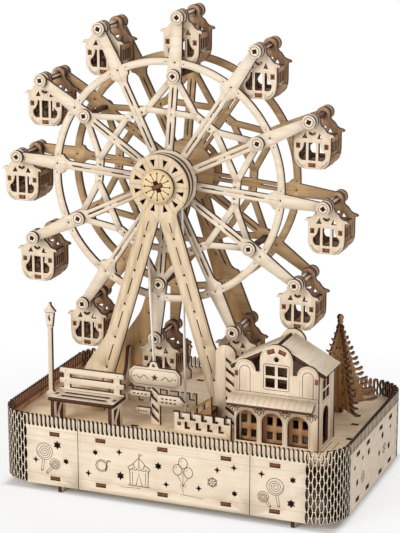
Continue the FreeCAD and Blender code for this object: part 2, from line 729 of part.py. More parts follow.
def build_stand():
    """Two equal frames in front of and behind the wheel, and a brace between them."""
    frame, centre = stand_outline()
    bore = math.hypot(V["hub_bar"] / 2, V["sheet"] / 2) + V["run_play"]
    loops = [frame, clear_flats(bore, 12)]
    for k in range(ARMS):
        triangle = [(V["truss_inner"], 0), (V["truss_outer"], -V["truss_base"] / 2),
                    (V["truss_outer"], V["truss_base"] / 2)]
        loops.append([turned(p, (k + 0.5) * STEP) for p in triangle])
    front_y = "Sizes.wheel_y - %s - Sizes.sheet" % STAND
    rear_y = "Sizes.wheel_y + %s" % REAR_STAND
    node("front_stand", [upright("stand_a", loops, "Sizes.hub_x", front_y,
                                 "Sizes.hub_height")])
    node("rear_stand", [upright("stand_b", loops, "Sizes.hub_x", rear_y,
                                "Sizes.hub_height")])

    front = V["wheel_y"] - stack(6) - V["face_gap"]
    rear = V["wheel_y"] + stack(2 + V["rear_spacers"]) + V["face_gap"]
    high = V["brace_height"]
    brace = [(front, 0), (rear, 0), (rear, high), (rear - 9, high), (rear - 24, high * 0.55, 20),
             (front + 6, high * 0.42, 6), (front, high * 0.42)]
    node("leg_brace", [crossways("brace", [brace], "Sizes.brace_x - Sizes.sheet / 2", "0",
                                 "Sizes.deck_level + Sizes.sheet")])
    return centre


def stack(sheets):
    """Distance from the wheel's middle plane to a face past the washers."""
    return V["cabin_depth"] / 2 + V["face_gap"] + sheets * V["sheet"]


def comb(centres, top):
    """Points of the gaps between pickets, along a top edge from right to left. There are
    a hundred and more, so each is a narrow V as wide in the middle as the real slot."""
    half = V["comb_slot"]
    low = top - V["comb_depth"]
    points = []
    for x in centres:
        points += [(x + half, top), (x, low), (x - half, top)]
    return points


def star(x, y, points, outer, inner, turn=90):
    """A pointed star, drawn by its angles."""
    corners = []
    for k in range(2 * points):
        radius = inner if k % 2 else outer
        angle = math.radians(turn + 180 * k / points)
        corners.append((x + radius * math.cos(angle), y + radius * math.sin(angle)))
    return corners


def tab_holes(spots):
    """Slots for the tabs of the deck and the bottom plate."""
    reach = V["tab_width"] / 2 + V["slot_play"]
    play = V["slot_play"]
    return [box(x - reach, low - play, x + reach, low + V["sheet"] + play)
            for x in spots for low in (V["floor_level"], V["deck_level"])]


PANEL_GAPS = int(2 * V["panel_half"] / V["comb_pitch"])
FIRST_GAP = (PANEL_GAPS - 1) / 2 * V["comb_pitch"]


def build_panels():
    half = V["panel_half"]
    low = V["wall_bottom"]
    top = V["wall_top"]
    centres = [FIRST_GAP - k * V["comb_pitch"] for k in range(PANEL_GAPS)]
    edge = [(-half, low), (half, low), (half, top)] + comb(centres, top) + [(-half, top)]
    tabs = tab_holes((-V["tab_near"], 0, V["tab_near"]))
    stars = [star(x, z, 2, 2.4, 1.1) for x, z in
             ((-61, 21), (-34, 40), (-3, 34), (3, 20), (28, 20), (43, 37), (57, 41))]
    node("front_panel", [upright("panel_front", [edge] + tabs + stars, "0",
                                 "-Sizes.base_depth / 2")])
    bore = bound_circle(V["crank_x"], V["crank_height"], V["shaft_radius"] + V["run_play"],
                        "Sizes.shaft_radius + Sizes.run_play")
    node("back_panel", [upright("panel_back", [edge] + tabs + [bore], "0",
                                "Sizes.base_depth / 2 - Sizes.sheet")])


HINGE_FLATS = 5


def corner_slots(side, columns):
    """Radial slots through both corners of one end, one in the middle of each flat."""
    half = V["hinge_slot"] / 2
    outer = V["base_corner"]
    inner = outer - V["sheet"]
    loops = []
    for front in (-1, 1):
        cx = side * (HALF_X - outer)
        cy = front * (HALF_Y - outer)
        for j in columns:
            angle = (j + 0.5) * 90 / HINGE_FLATS
            for_corner = []
            for px, py in box(inner - 1, -half, outer + 1, half):
                x, y = turned((px, py), angle)
                for_corner.append((cx + side * x, cy + front * y))
            loops.append(for_corner)
    return loops


def build_wrap(name, side):
    """One end of the box: bent round both corners from one strip, and cut."""
    body = new_body("wrap_" + name)
    path = []
    for inset in (0, V["sheet"]):
        r = V["base_corner"] - inset
        bends = [turned((0, -r), 90 * k / HINGE_FLATS) for k in range(HINGE_FLATS + 1)]
        x = HALF_X - V["base_corner"]
        y = HALF_Y - V["base_corner"]
        half_way = [(V["panel_half"], -HALF_Y + inset)]
        half_way += [(x + px, -y + py) for px, py in bends]
        points = half_way + [(px, -py) for px, py in reversed(half_way)]
        path += points if inset == 0 else points[::-1]
    path = [(side * px, py) for px, py in path]
    strip = add_sketch(body, "XY_Plane", [path], "Sizes.wall_bottom")
    pad(body, strip, "Sizes.wall_top - Sizes.wall_bottom")

    half = V["comb_slot"]
    top = V["wall_top"]
    low = top - V["comb_depth"]
    first = FIRST_GAP + V["comb_pitch"]
    last = HALF_X - V["base_corner"]
    count = int((last - first) / V["comb_pitch"]) + 1
    gaps = [side * (first + k * V["comb_pitch"]) for k in range(count)]
    cuts = [[(x - half, top), (x, low), (x + half, top), (x, top + 1)] for x in gaps]
    cuts += tab_holes((side * V["tab_far"],))
    pocket(body, add_sketch(body, "XZ_Plane", cuts), both=True)

    sides = (-V["side_tab_far"], -V["side_tab_near"], V["side_tab_near"], V["side_tab_far"])
    pocket(body, add_sketch(body, "YZ_Plane", tab_holes(sides)), both=True)

    bridge = V["hinge_bridge"]
    bottom = V["wall_bottom"]
    middle = (bottom + low) / 2
    even = (0, 2, 4)
    odd = (1, 3)
    runs = [(even, bottom + bridge, low - bottom - 2 * bridge), (even, low, top - low + 1),
            (odd, bottom - 1, middle - bottom - bridge / 2 + 1),
            (odd, middle + bridge / 2, top - middle)]
    for columns, start, length in runs:
        sketch = add_sketch(body, "XY_Plane", corner_slots(side, columns), "%.4f" % start)
        pocket(body, sketch, "%.4f" % length, back=True)
    body.setExpression("Placement.Base.x", "Sizes.shift_x")
    body.setExpression("Placement.Base.y", "Sizes.shift_y")
    node(name + "_wrap", [body])


def plate_outline():
    """The deck's outline, with tabs that reach the outer face of the walls."""
    x = HALF_X - V["sheet"] - V["slot_play"]
    y = HALF_Y - V["sheet"] - V["slot_play"]
    r = V["base_corner"] - V["sheet"] - V["slot_play"]
    half = V["tab_width"] / 2
    front = []
    for t in (-V["tab_far"], -V["tab_near"], 0, V["tab_near"], V["tab_far"]):
        front += [(t - half, -y), (t - half, -HALF_Y), (t + half, -HALF_Y), (t + half, -y)]
    right = []
    for t in (-V["side_tab_far"], -V["side_tab_near"], V["side_tab_near"], V["side_tab_far"]):
        right += [(x, t - half), (HALF_X, t - half), (HALF_X, t + half), (x, t + half)]
    corners = []
    for side in (-1, 1):
        round_it = [turned((r, 0), angle) for angle in (-75, -45, -15)]
        corner = [(x - r + px, -(y - r) + py) for px, py in round_it]
        if side > 0:
            corner = [(px, -py) for px, py in reversed(corner)]
        corners.append(corner)
    half_way = front + corners[0] + right + corners[1]
    return half_way + [(-p[0], -p[1]) + tuple(p[2:]) for p in half_way]


BELT_A = (V["hub_x"], V["hub_height"])
BELT_B = (V["crank_x"], V["crank_height"])
BELT_LONG = math.dist(BELT_A, BELT_B)
BELT_DOWN = math.degrees(math.atan2(BELT_B[1] - BELT_A[1], BELT_B[0] - BELT_A[0]))
BELT_LEAN = math.degrees(math.acos((V["groove_radius"] - V["crank_groove"]) / BELT_LONG))


def belt_loop(extra):
    """The belt's path round both pulleys, this far outside the grooves: flats that touch
    the circles, the straight runs among them."""
    path = []
    for centre, groove, first, turn, flats in (
            (BELT_A, "groove_radius", BELT_LEAN, 360 - 2 * BELT_LEAN, 8),
            (BELT_B, "crank_groove", -BELT_LEAN, 2 * BELT_LEAN, 6)):
        radius = V[groove] + V["belt_gap"] + extra
        step = turn / flats
        for k in range(flats):
            x, y = turned((radius / math.cos(math.radians(step / 2)), 0),
                          BELT_DOWN + first + (k + 0.5) * step)
            path.append((centre[0] + x, centre[1] + y))
    return path


def belt_at(z):
    """X of both strands' middles at a height."""
    path = belt_loop(V["belt_thick"] / 2)
    found = []
    for a, b in ((path[7], path[8]), (path[13], path[0])):
        found.append(a[0] + (b[0] - a[0]) * (z - a[1]) / (b[1] - a[1]))
    return sorted(found)


def build_plates(foot_middle):
    play = V["slot_play"]
    holes = []
    reach = V["tenon"] / 2 + play
    front = V["wheel_y"] - stack(6) - V["face_gap"] - V["sheet"]
    rear = V["wheel_y"] + stack(2 + V["rear_spacers"]) + V["face_gap"]
    for y in (front, rear):
        for side in (-1, 1):
            x = V["hub_x"] + side * foot_middle
            holes.append(box(x - reach, y - play, x + reach, y + V["sheet"] + play))
    belt_y = V["wheel_y"] - stack(4.5)
    for x in belt_at(V["deck_level"]):
        holes.append(box(x - 3, belt_y - 3, x + 3, belt_y + 3))
    node("deck", [level("deck_plate", [plate_outline()] + holes, "0", "0",
                        "Sizes.deck_level")])
    node("bottom_plate", [level("bottom_sheet", [plate_outline()], "0", "0",
                                "Sizes.floor_level")])
    y = HALF_Y - V["sheet"] - play
    rise = V["wall_bottom"]
    toe = V["foot_toe"]
    half_rail = [(y - toe, 0), (y, 0), (y, V["floor_level"])]
    rail = [(-y, 0), (-y + toe, 0), (-y + toe + 5, rise), (y - toe - 5, rise)] + half_rail
    rail += [(-y, V["floor_level"])]
    node("foot_rails", [crossways("rail_left", [rail], "Sizes.left_rail_x - Sizes.sheet / 2"),
                        crossways("rail_right", [rail],
                                  "Sizes.right_rail_x - Sizes.sheet / 2")])


def build_drive():
    """Crank shaft under the deck, its pulley, the belt and the crank at the back."""
    reach = V["bearing_half"]
    low = FLOOR_TOP - V["crank_height"]
    high = V["deck_level"] - V["crank_height"]
    bore = bound_circle(0, 0, V["shaft_radius"] + V["run_play"],
                        "Sizes.shaft_radius + Sizes.run_play")
    loops = [box(-reach, low, reach, high), bore]
    front = "Sizes.wheel_y - %s - Sizes.sheet" % STAND
    rear = "Sizes.wheel_y + %s" % REAR_STAND
    node("bearing_plates", [
        upright("bearing_front", loops, "Sizes.crank_x", front, "Sizes.crank_height"),
        upright("bearing_rear", loops, "Sizes.crank_x", rear, "Sizes.crank_height")])

    belt = upright("belt_band", [belt_loop(0), belt_loop(V["belt_thick"])], "0",
                   "Sizes.wheel_y - %s - Sizes.sheet / 2 - Sizes.belt_wide / 2" % CORE,
                   length="Sizes.belt_wide")
    node("belt", [belt])

    start = "Sizes.wheel_y - %s - 2 * Sizes.sheet" % STAND
    length = ("Sizes.base_depth / 2 + Sizes.face_gap + Sizes.sheet - (%s)" % start)
    shaft = upright("shaft", [circle(0, 0, "shaft_radius")], "Sizes.crank_x", start,
                    "Sizes.crank_height", length=length)
    node("crank_shaft", [shaft])
    discs = []
    hole = clear_flats(V["shaft_radius"] + V["slot_play"], 8)
    for size, offset in (("crank_flange", OUTER_FLANGE), ("crank_groove", CORE),
                         ("crank_flange", FLANGE)):
        discs.append(upright("crank_disc_%d" % len(discs),
                             [disc_flats(0, 0, V[size], 16), hole], "Sizes.crank_x",
                             "Sizes.wheel_y - %s - Sizes.sheet" % offset,
                             "Sizes.crank_height"))
    node("crank_pulley", discs)
    half = V["crank_arm_half"]
    ends = [turned((half, 0), angle) for angle in (0, 36, 72, 108, 144, 180)]
    arm = ends + [(-x, -V["crank_throw"] - y) for x, y in ends]
    arm_y = "Sizes.base_depth / 2 + Sizes.face_gap"
    node("crank_arm", [upright("crank_lever", [arm, hole], "Sizes.crank_x", arm_y,
                               "Sizes.crank_height")])
    knob = upright("knob", [disc_flats(0, 0, V["knob_radius"], 12)], "Sizes.crank_x",
                   arm_y + " + Sizes.sheet", "Sizes.crank_height - Sizes.crank_throw",
                   length="Sizes.knob_length")
    node("crank_knob", [knob])


DECK = "Sizes.deck_top"


def build_bench():
    """A park bench: slotted seat, a backrest with open ends and two braced legs."""
    left = V["bench_left"]
    right = V["bench_right"]
    front = V["bench_front"]
    back = V["bench_back_y"]
    slots = [box(left + 9, front + d, right - 9, front + d + 2.0) for d in (6.0, 12.5)]
    node("bench_seat", [level("seat", [box(left, front, right, back)] + slots, "0", "0",
                              "Sizes.seat_top - Sizes.sheet")])
    low = V["seat_top"] - V["sheet"]
    high = V["backrest_top"]
    notch = 3.4
    third = (high - low) / 5
    edge = [(left, low), (right, low)]
    for k in (1, 3):
        edge += [(right, low + k * third), (right - notch, low + k * third),
                 (right - notch, low + (k + 1) * third), (right, low + (k + 1) * third)]
    edge += [(right, high, 1.5), (left, high, 1.5)]
    for k in (3, 1):
        edge += [(left, low + (k + 1) * third), (left + notch, low + (k + 1) * third),
                 (left + notch, low + k * third), (left, low + k * third)]
    gaps = [box(left + 9, low + k * third + 0.5, right - 9, low + (k + 1) * third - 0.6)
            for k in (1, 3)]
    node("bench_back", [upright("backrest", [edge] + gaps, "0", "Sizes.bench_back_y")])
    tall = low - DECK_TOP
    leg = [(front + 1, 0), (front + 5, 0), (front + 5, 2), (back - 4.5, tall - 5),
           (back - 4.5, 0), (back, 0), (back, tall), (front + 1, tall)]
    opening = [(front + 5, 7.5), (back - 8.5, tall - 3), (front + 5, tall - 3)]
    legs = [crossways("leg_" + name, [leg, opening], x, "0", DECK)
            for name, x in (("left", "Sizes.bench_left + 1.5"),
                            ("right", "Sizes.bench_right - 1.5 - Sizes.sheet"))]
    node("bench_legs", legs)


def lamp(label, x, y, top):
    """A street lamp cut from one sheet: foot, post and a tapered lantern with a roof."""
    tall = V[top] - DECK_TOP
    side = [(4.0, 0), (4.0, 8.0), (1.6, 9.5), (1.6, tall - 20.3), (2.4, tall - 19.3),
            (3.8, tall - 7.6), (5.0, tall - 6.9), (1.2, tall - 2.4), (1.2, tall)]
    eye = star(0, tall - 11.5, 2, 1.2, 0.9)
    return upright(label, [mirrored(side), eye], "Sizes." + x, "Sizes." + y, DECK)


def build_sign():
    """A striped pole with an octagonal board and three pointers, all left blank."""
    half = V["pole_width"] / 2
    tall = V["sign_top"] - DECK_TOP
    stripes = []
    for k in range(4):
        z = 6.0 + 7.5 * k
        stripes.append([(-half + 1, z + 1.2), (half - 1, z - 3.6), (half - 1, z - 0.9),
                        (-half + 1, z + 3.9)])
    pole = upright("pole", [box(-half, 0, half, tall - 8)] + stripes, "Sizes.sign_x",
                   "Sizes.sign_y", DECK)
    node("sign_pole", [pole])
    low = tall - 20.5
    high = tall - 5.0
    left = -20.1
    right = 21.7
    cut = 4.0
    board = [(left + cut, low), (right - cut, low), (right, low + cut), (right, high - cut),
             (right - cut, high), (3.2, high), (3.2, tall, 3.15), (-3.2, tall, 3.15),
             (-3.2, high), (left + cut, high), (left, high - cut), (left, low + cut)]
    ring = star(0, tall - 3.2, 4, 1.1, 1.1)
    first = [(-22.0, 25.0), (-19.0, 22.8), (-2.9, 22.8), (-2.9, 27.2), (-19.0, 27.2)]
    second = [(-17.2, 11.4), (-14.6, 8.9), (-3.0, 8.9), (-3.0, 14.0), (-14.6, 14.0)]
    third = [(3.0, 17.4), (20.5, 17.4), (24.9, 21.6), (20.5, 25.8), (3.0, 25.8)]
    node("sign_boards", [upright("boards", [board, ring, first, second, third],
                                 "Sizes.sign_x", "Sizes.sign_y - Sizes.sheet", DECK)])


def low_wall(label, left, right, top, y, eyes):
    """A low stone wall: bricks hinted by short cuts in two rows."""
    wide = V[right] - V[left]
    tall = V[top] - DECK_TOP
    count = int(wide / 10.2)
    pitch = wide / count
    stroke = 1.2
    edge = [(0, 0), (wide, 0), (wide, tall)]
    for k in reversed(range(count)):
        x = (k + 0.45) * pitch
        edge += [(x + stroke, tall), (x + stroke, tall - 4.8), (x, tall - 4.8), (x, tall)]
    edge.append((0, tall))
    cuts = []
    for k in range(count - 1):
        x = (k + 1) * pitch
        z = tall - 10.6
        cuts.append(box(x, z, x + 1.1, z + 4.0))
    if eyes:
        cuts.append(box(2.6, tall - 10.2, 5.4, tall - 7.4))
    return upright(label, [edge] + cuts, "Sizes." + left, "Sizes." + y, DECK)


def build_stairs():
    """Two stepped stringers, four treads between them and a handrail in front."""
    going = V["step_going"]
    rise = V["step_rise"]
    steps = 4
    edge = [(0, 0)]
    for k in range(steps):
        edge += [(k * going, (k + 1) * rise), ((k + 1) * going, (k + 1) * rise)]
    edge.append((steps * going, 0))
    rail = 9.0
    side = edge[:2] + [(0, rise + rail), (2, rise + rail), (steps * going, (steps + 1) * rise
                                                             + rail - 2),
                       (steps * going, 0)]
    windows = []
    for k in range(steps):
        x = 1.4 + k * (going - 0.35)
        z = rise * 0.9 + x * rise / going
        windows.append([(x, z + 1.0), (x + 2.6, z + 3.4), (x + 2.6, z + rail - 1.0),
                        (x, z + rail - 3.4)])
    front = upright("stair_front", [side] + windows, "Sizes.stair_left", "Sizes.stair_y", DECK)
    back = upright("stair_back", [edge], "Sizes.stair_left",
                   "Sizes.stair_y + Sizes.sheet + Sizes.stair_wide", DECK)
    treads = []
    for k in range(steps):
        treads.append(level("tread_%d" % k, [box(0, 0, going, V["stair_wide"])],
                            "Sizes.stair_left + %d * Sizes.step_going" % k,
                            "Sizes.stair_y + Sizes.sheet",
                            "%s + %d * Sizes.step_rise - Sizes.sheet" % (DECK, k + 1)))
    node("staircase", [front, back] + treads)


def build_tower():
    """A tall narrow plate with a round top and slanting cuts down its right half."""
    wide = V["tower_right"] - V["tower_left"]
    tall = V["tower_top"] - DECK_TOP
    edge = [(0, 0), (wide, 0), (wide, tall, wide / 2), (0, tall, wide / 2)]
    cuts = []
    pitch = 6.3
    for k in range(9):
        z = 7.0 + k * pitch
        cuts.append([(wide / 2 + 0.6, z + 2.4), (wide - 1.4, z - 2.4), (wide - 1.4, z - 0.7),
                     (wide / 2 + 0.6, z + 4.1)])
    behind_stairs = "Sizes.stair_y + Sizes.stair_wide + 2 * Sizes.sheet + Sizes.face_gap"
    node("striped_tower", [upright("tower", [edge] + cuts, "Sizes.tower_left",
                                   behind_stairs, DECK)])


def build_house():
    """The little house: arcade, upper front, sides and rear wall, awning and roof."""
    left = V["house_left"]
    right = V["house_right"]
    mid = (left + right) / 2
    storey = V["house_storey"]
    sheet = V["sheet"]
    arches = []
    reach = V["arch_width"] / 2
    for k in (-1, 0, 1):
        x = mid - 2.9 + k * V["arch_pitch"]
        arches.append([(x - reach, DECK_TOP + sheet), (x + reach, DECK_TOP + sheet),
                       (x + reach, V["arch_top"], reach), (x - reach, V["arch_top"], reach)])
    node("house_front", [upright("arcade", [box(left, DECK_TOP, right, storey)]
                                 + arches, "0", "Sizes.house_front_y")])

    lobe = V["lobe_radius"]
    lobe_top = V["house_ridge"] - 13.6
    notch = V["house_ridge"] - 21.9
    gable = V["gable_radius"]
    wide = 2 * lobe
    edge = [(left, storey), (right, storey), (right, lobe_top, lobe),
            (right - wide, lobe_top, lobe), (right - wide, notch), (mid + gable, notch),
            (mid + gable, V["house_ridge"], gable), (mid - gable, V["house_ridge"], gable),
            (mid - gable, notch), (left + wide, notch), (left + wide, lobe_top, lobe),
            (left, lobe_top, lobe)]
    panes = []
    for x in (mid - 8.4, mid + 1.1):
        for z in (V["house_ridge"] - 33.2, V["house_ridge"] - 24.0):
            panes.append(box(x, z, x + 7.3, z + 7.2))
    eye = star(mid, V["house_ridge"] - 11.2, 4, 2.0, 2.0)
    node("house_upper", [upright("upper_front", [edge, eye] + panes, "0",
                                 "Sizes.house_front_y")])

    eave = V["house_eave"]
    front_y = V["house_front_y"] + sheet
    rear_y = V["house_rear_y"] - sheet
    wall = box(front_y, DECK_TOP, rear_y, eave)
    window = [box(y, z, y + 6.6, z + 7.0) for y in (-48.0, -40.0) for z in (87.0, 95.6)]
    door = [(-47.0, DECK_TOP + sheet), (-34.0, DECK_TOP + sheet), (-34.0, 81.0, 6.5),
            (-47.0, 81.0, 6.5)]
    sides = [crossways("side_left", [wall], "Sizes.house_left"),
             crossways("side_right", [wall, door] + window, "Sizes.house_right - Sizes.sheet")]
    top = V["house_ridge"] - 1.5
    slope = V["roof_fall"] / V["roof_run"]
    shoulder = eave + (right - mid - 10) * slope
    rear = [(left, DECK_TOP), (right, DECK_TOP), (right, eave), (mid + 10, shoulder),
            (mid + 10, top, 9.9), (mid - 10, top, 9.9), (mid - 10, shoulder), (left, eave)]
    panes = []
    for k in (-1, 0, 1):
        x = mid - 2.9 + k * V["arch_pitch"]
        for dx in (-5.2, 0.7):
            panes.append(box(x + dx, 56.5, x + dx + 4.5, 70.5))
    back = upright("rear_wall", [rear] + panes, "0", "Sizes.house_rear_y - Sizes.sheet")
    node("house_sides", sides + [back])

    y = V["house_front_y"] - V["slot_play"]
    high = storey + 1.0
    out = V["awning_reach"]
    fall = 8.0
    long = math.hypot(out, fall)
    shift = (sheet * fall / long, -sheet * out / long)
    lip = (y - out + shift[0], high - fall + shift[1])
    awning = [(y, high), (y - out, high - fall), lip, meet(lip, (out, fall), (y, 0), (0, 1))]
    node("house_awning", [crossways("awning", [awning], "Sizes.house_left - 3.5",
                                    length="Sizes.house_right - Sizes.house_left + 1.5")])

    run = V["roof_run"]
    ridge = V["roof_top"]
    tilt = math.atan(slope)
    gap = 1.2
    roof = [(gap, ridge - gap * slope), (run, ridge - V["roof_fall"]),
            (run - sheet * math.sin(tilt), ridge - V["roof_fall"] - sheet * math.cos(tilt)),
            (gap, ridge - gap * slope - sheet / math.cos(tilt))]
    length = ("Sizes.house_rear_y - Sizes.house_front_y - 2 * Sizes.sheet - 2 * "
              "Sizes.slot_play")
    plates = []
    for name, sign in (("left", -1), ("right", 1)):
        plates.append(upright("roof_" + name, [[(sign * px, pz) for px, pz in roof]],
                              "(Sizes.house_left + Sizes.house_right) / 2",
                              "Sizes.house_front_y + Sizes.sheet + Sizes.slot_play",
                              length=length))
    node("house_roof", plates)


def build_tree():
    """A conifer of two crossed sheets, slotted into each other at mid height."""
    tall = V["tree_top"] - DECK_TOP
    side = [(3.6, 0), (3.6, 5.0)]
    tiers = 6
    rise = (tall - 20) / tiers
    for k in range(tiers):
        reach = V["tree_half"] * (1 - k / (tiers + 1.2))
        z = 6.0 + k * rise
        side += [(reach, z), (reach * 0.86, z + 2.4), (reach * 0.52, z + rise * 0.86)]
    finial = [(1.3, tall - 8.0), (2.4, tall - 5.0), (2.2, tall - 1.0), (1.0, tall)]
    half = V["sheet"] / 2 + V["slot_play"]
    middle = tall / 2
    whole = side + finial
    left = [(-x, y) for x, y in reversed(whole)]
    from_below = [(half, 0)] + whole + left + [(-half, 0), (-half, middle), (half, middle)]
    shoulder = side[-1][1]
    lower_left = [(-x, y) for x, y in reversed(side)]
    from_above = side + [(half, shoulder + 1), (half, middle), (-half, middle),
                         (-half, shoulder + 1)] + lower_left
    along = upright("tree_along", [from_below], "Sizes.tree_x",
                    "Sizes.tree_y - Sizes.sheet / 2", DECK)
    across = crossways("tree_across", [from_above], "Sizes.tree_x - Sizes.sheet / 2",
                       "Sizes.tree_y", DECK)
    node("tree", [along, across])


build_wheel()
build_hub()
build_cabins()
FOOT_MIDDLE = build_stand()
build_panels()
build_wrap("left", -1)
build_wrap("right", 1)
build_plates(FOOT_MIDDLE)
build_drive()
build_bench()
node("street_lamps", [lamp("lamp_tall", "lamp_x", "lamp_y", "lamp_top"),
                      lamp("lamp_rear", "rear_lamp_x", "rear_lamp_y", "rear_lamp_top")])
build_sign()
node("fences", [low_wall("wall_front", "front_fence_left", "front_fence_right",
                         "front_fence_top", "front_fence_y", True),
                low_wall("wall_rear", "rear_fence_left", "rear_fence_right",
                         "rear_fence_top", "rear_fence_y", False)])
build_stairs()
build_tower()
build_house()
build_tree()

doc.recompute()
for item in doc.Objects:
    if "Invalid" in item.State or "Error" in item.State:
        raise RuntimeError("%s does not compute: %s" % (item.Label, item.State))

os.makedirs("parts", exist_ok=True)
for item in NODES:
    if item.Shape.isNull() or not item.Shape.isValid():
        raise RuntimeError("%s has no valid shape" % item.Label)
    item.Shape.exportStep("parts/%s.step" % item.Label)
print(len(NODES), "nodes exported")
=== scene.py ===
# %% [markdown]
# # A laser-cut Ferris wheel on a box base
# The real thing is a kit: every part is sawn by a laser from sheets of 3 mm plywood and
# pushed together with tabs, slots and square pins. So nearly every piece here is the same
# thing: a drawing in the plane of a sheet, carried through the thickness of the sheet.
# Sizes are in millimetres and become metres in one place, where a mesh is made.

# %% The frame and the tools
import json
import math
import bpy
import numpy as np
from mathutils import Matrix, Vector, geometry

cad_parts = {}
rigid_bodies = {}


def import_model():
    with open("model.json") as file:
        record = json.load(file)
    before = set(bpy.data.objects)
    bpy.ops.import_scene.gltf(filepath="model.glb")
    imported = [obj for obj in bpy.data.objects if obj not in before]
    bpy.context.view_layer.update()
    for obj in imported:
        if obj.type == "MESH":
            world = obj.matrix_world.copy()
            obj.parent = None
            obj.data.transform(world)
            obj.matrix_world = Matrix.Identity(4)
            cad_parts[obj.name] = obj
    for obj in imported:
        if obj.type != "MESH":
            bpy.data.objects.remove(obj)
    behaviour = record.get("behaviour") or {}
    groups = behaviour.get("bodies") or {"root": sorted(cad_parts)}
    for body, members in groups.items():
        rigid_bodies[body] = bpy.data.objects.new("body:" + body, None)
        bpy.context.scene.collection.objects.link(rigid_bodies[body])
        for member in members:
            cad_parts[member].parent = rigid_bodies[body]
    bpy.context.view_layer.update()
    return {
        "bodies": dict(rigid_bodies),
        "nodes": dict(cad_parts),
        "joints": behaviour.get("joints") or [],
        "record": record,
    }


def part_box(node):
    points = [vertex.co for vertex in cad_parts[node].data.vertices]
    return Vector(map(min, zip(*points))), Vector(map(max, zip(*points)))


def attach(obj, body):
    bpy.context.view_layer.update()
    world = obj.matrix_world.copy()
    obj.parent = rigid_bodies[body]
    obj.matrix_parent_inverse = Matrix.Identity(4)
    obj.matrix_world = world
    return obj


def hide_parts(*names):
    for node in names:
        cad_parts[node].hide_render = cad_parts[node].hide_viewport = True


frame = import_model()

# %% [markdown]
# ## The places that the construction gives
# The wheel turns about HUB in the plane of the picture, MID is the middle of the base, and
# the first of the twelve arms stands at FIRST degrees above the level. Sheets lie in layers
# on both sides of the wheel's middle plane, so each layer is named once by its inner face.

# %% Places, in millimetres
SHEET = 3.0
HUB = (-10.884, 233.3)
WHEEL_Y = -3.45
MID = (14.916, -8.65)
FIRST = 25.6
ARMS, STARS = 12, 6
DECK_TOP = 49.2
TIP = 125.0
LOW, TOP = 6.0, 61.5
HALF_X, HALF_Y, CORNER = 137.5, 88.0, 26.0
PLATE_IN, PLATE_OUT = 10.7, 13.7
WASHER, ARM, CAP, FLANGE, CORE, OUTER = 14.0, 17.0, 20.0, 23.0, 26.0, 29.0
STAND, DISC = 32.3, 35.6
BASE = "stand_and_base"
print("wheel over the pins", 2 * TIP, "mm, base", 2 * HALF_X, "by", 2 * HALF_Y, "mm")

# %% [markdown]
# ## Drawing in a plane
# A loop is an array of points, one row each. Moving, turning and mirroring a loop is then
# one sum or one product for all its points at once.

# %% Move, turn, mirror
def turn(points, degrees):
    """(x, y) goes to (x cos a - y sin a, x sin a + y cos a)."""
    a = math.radians(degrees)
    m = np.array([[math.cos(a), math.sin(a)], [-math.sin(a), math.cos(a)]])
    return np.asarray(points, float)[:, :2] @ m


def move(points, dx, dy):
    """Every point goes by (dx, dy)."""
    return np.asarray(points, float)[:, :2] + (dx, dy)


def flip(points):
    """x to -x, in reverse order, so that the loop keeps its sense."""
    return (np.asarray(points, float)[:, :2] * (-1, 1))[::-1]


print("a point turned by 90 degrees", turn([(1, 0)], 90).round(3).tolist())

# %% [markdown]
# The laser draws few kinds of line: circles, oblongs, stars and slots with round ends. Each
# is a formula of an angle. Circles get so many sides that no flat is 0.1 mm off the curve.

# %% Circles, oblongs, stars, slots
def arc(x, y, radius, start, stop, count):
    """Points at even angles from start to stop: (x + r cos a, y + r sin a)."""
    a = np.radians(np.linspace(start, stop, count))
    return np.column_stack([x + radius * np.cos(a), y + radius * np.sin(a)])


def disc(x, y, radius, count=24):
    """A whole circle: an arc that stops one step before it meets its start."""
    return arc(x, y, radius, 0, 360 - 360 / count, count)


def rect(x0, y0, x1, y1):
    """The four corners of an oblong, anticlockwise."""
    return np.array([(x0, y0), (x1, y0), (x1, y1), (x0, y1)], float)


def star(x, y, points, outer, inner, start=90):
    """Corners at even angles whose distance from the middle alternates."""
    a = np.radians(start + 180 / points * np.arange(2 * points))
    r = np.where(np.arange(2 * points) % 2, inner, outer)
    return np.column_stack([x + r * np.cos(a), y + r * np.sin(a)])


def capsule(x, y, length, width, degrees=90):
    """A slot at this angle: two half circles, their middles length - width apart."""
    r, h = width / 2, (length - width) / 2
    ends = np.vstack([arc(h, 0, r, -90, 90, 5), arc(-h, 0, r, 90, 270, 5)])
    return move(turn(ends, degrees), x, y)


def area(p):
    """Half the sum of the cross products of neighbours: above 0 when anticlockwise."""
    q = np.roll(p, -1, 0)
    return float(np.sum(p[:, 0] * q[:, 1] - p[:, 1] * q[:, 0]) / 2)


print("area of a disc of radius 1:", round(area(disc(0, 0, 1.0)), 3), "of", round(math.pi, 3))

# %% [markdown]
# Sawn outlines have small radii in their corners. Writing the radius as a third number of
# a corner keeps an outline readable: the function puts the arc in.

# %% Crossings and round corners
def meet(p, d, q, e):
    """Where the line through p along d meets the line through q along e: p + t d, with
    t = (q - p) x e / (d x e)."""
    scale = d[0] * e[1] - d[1] * e[0]
    along = ((q[0] - p[0]) * e[1] - (q[1] - p[1]) * e[0]) / scale
    return (p[0] + along * d[0], p[1] + along * d[1])


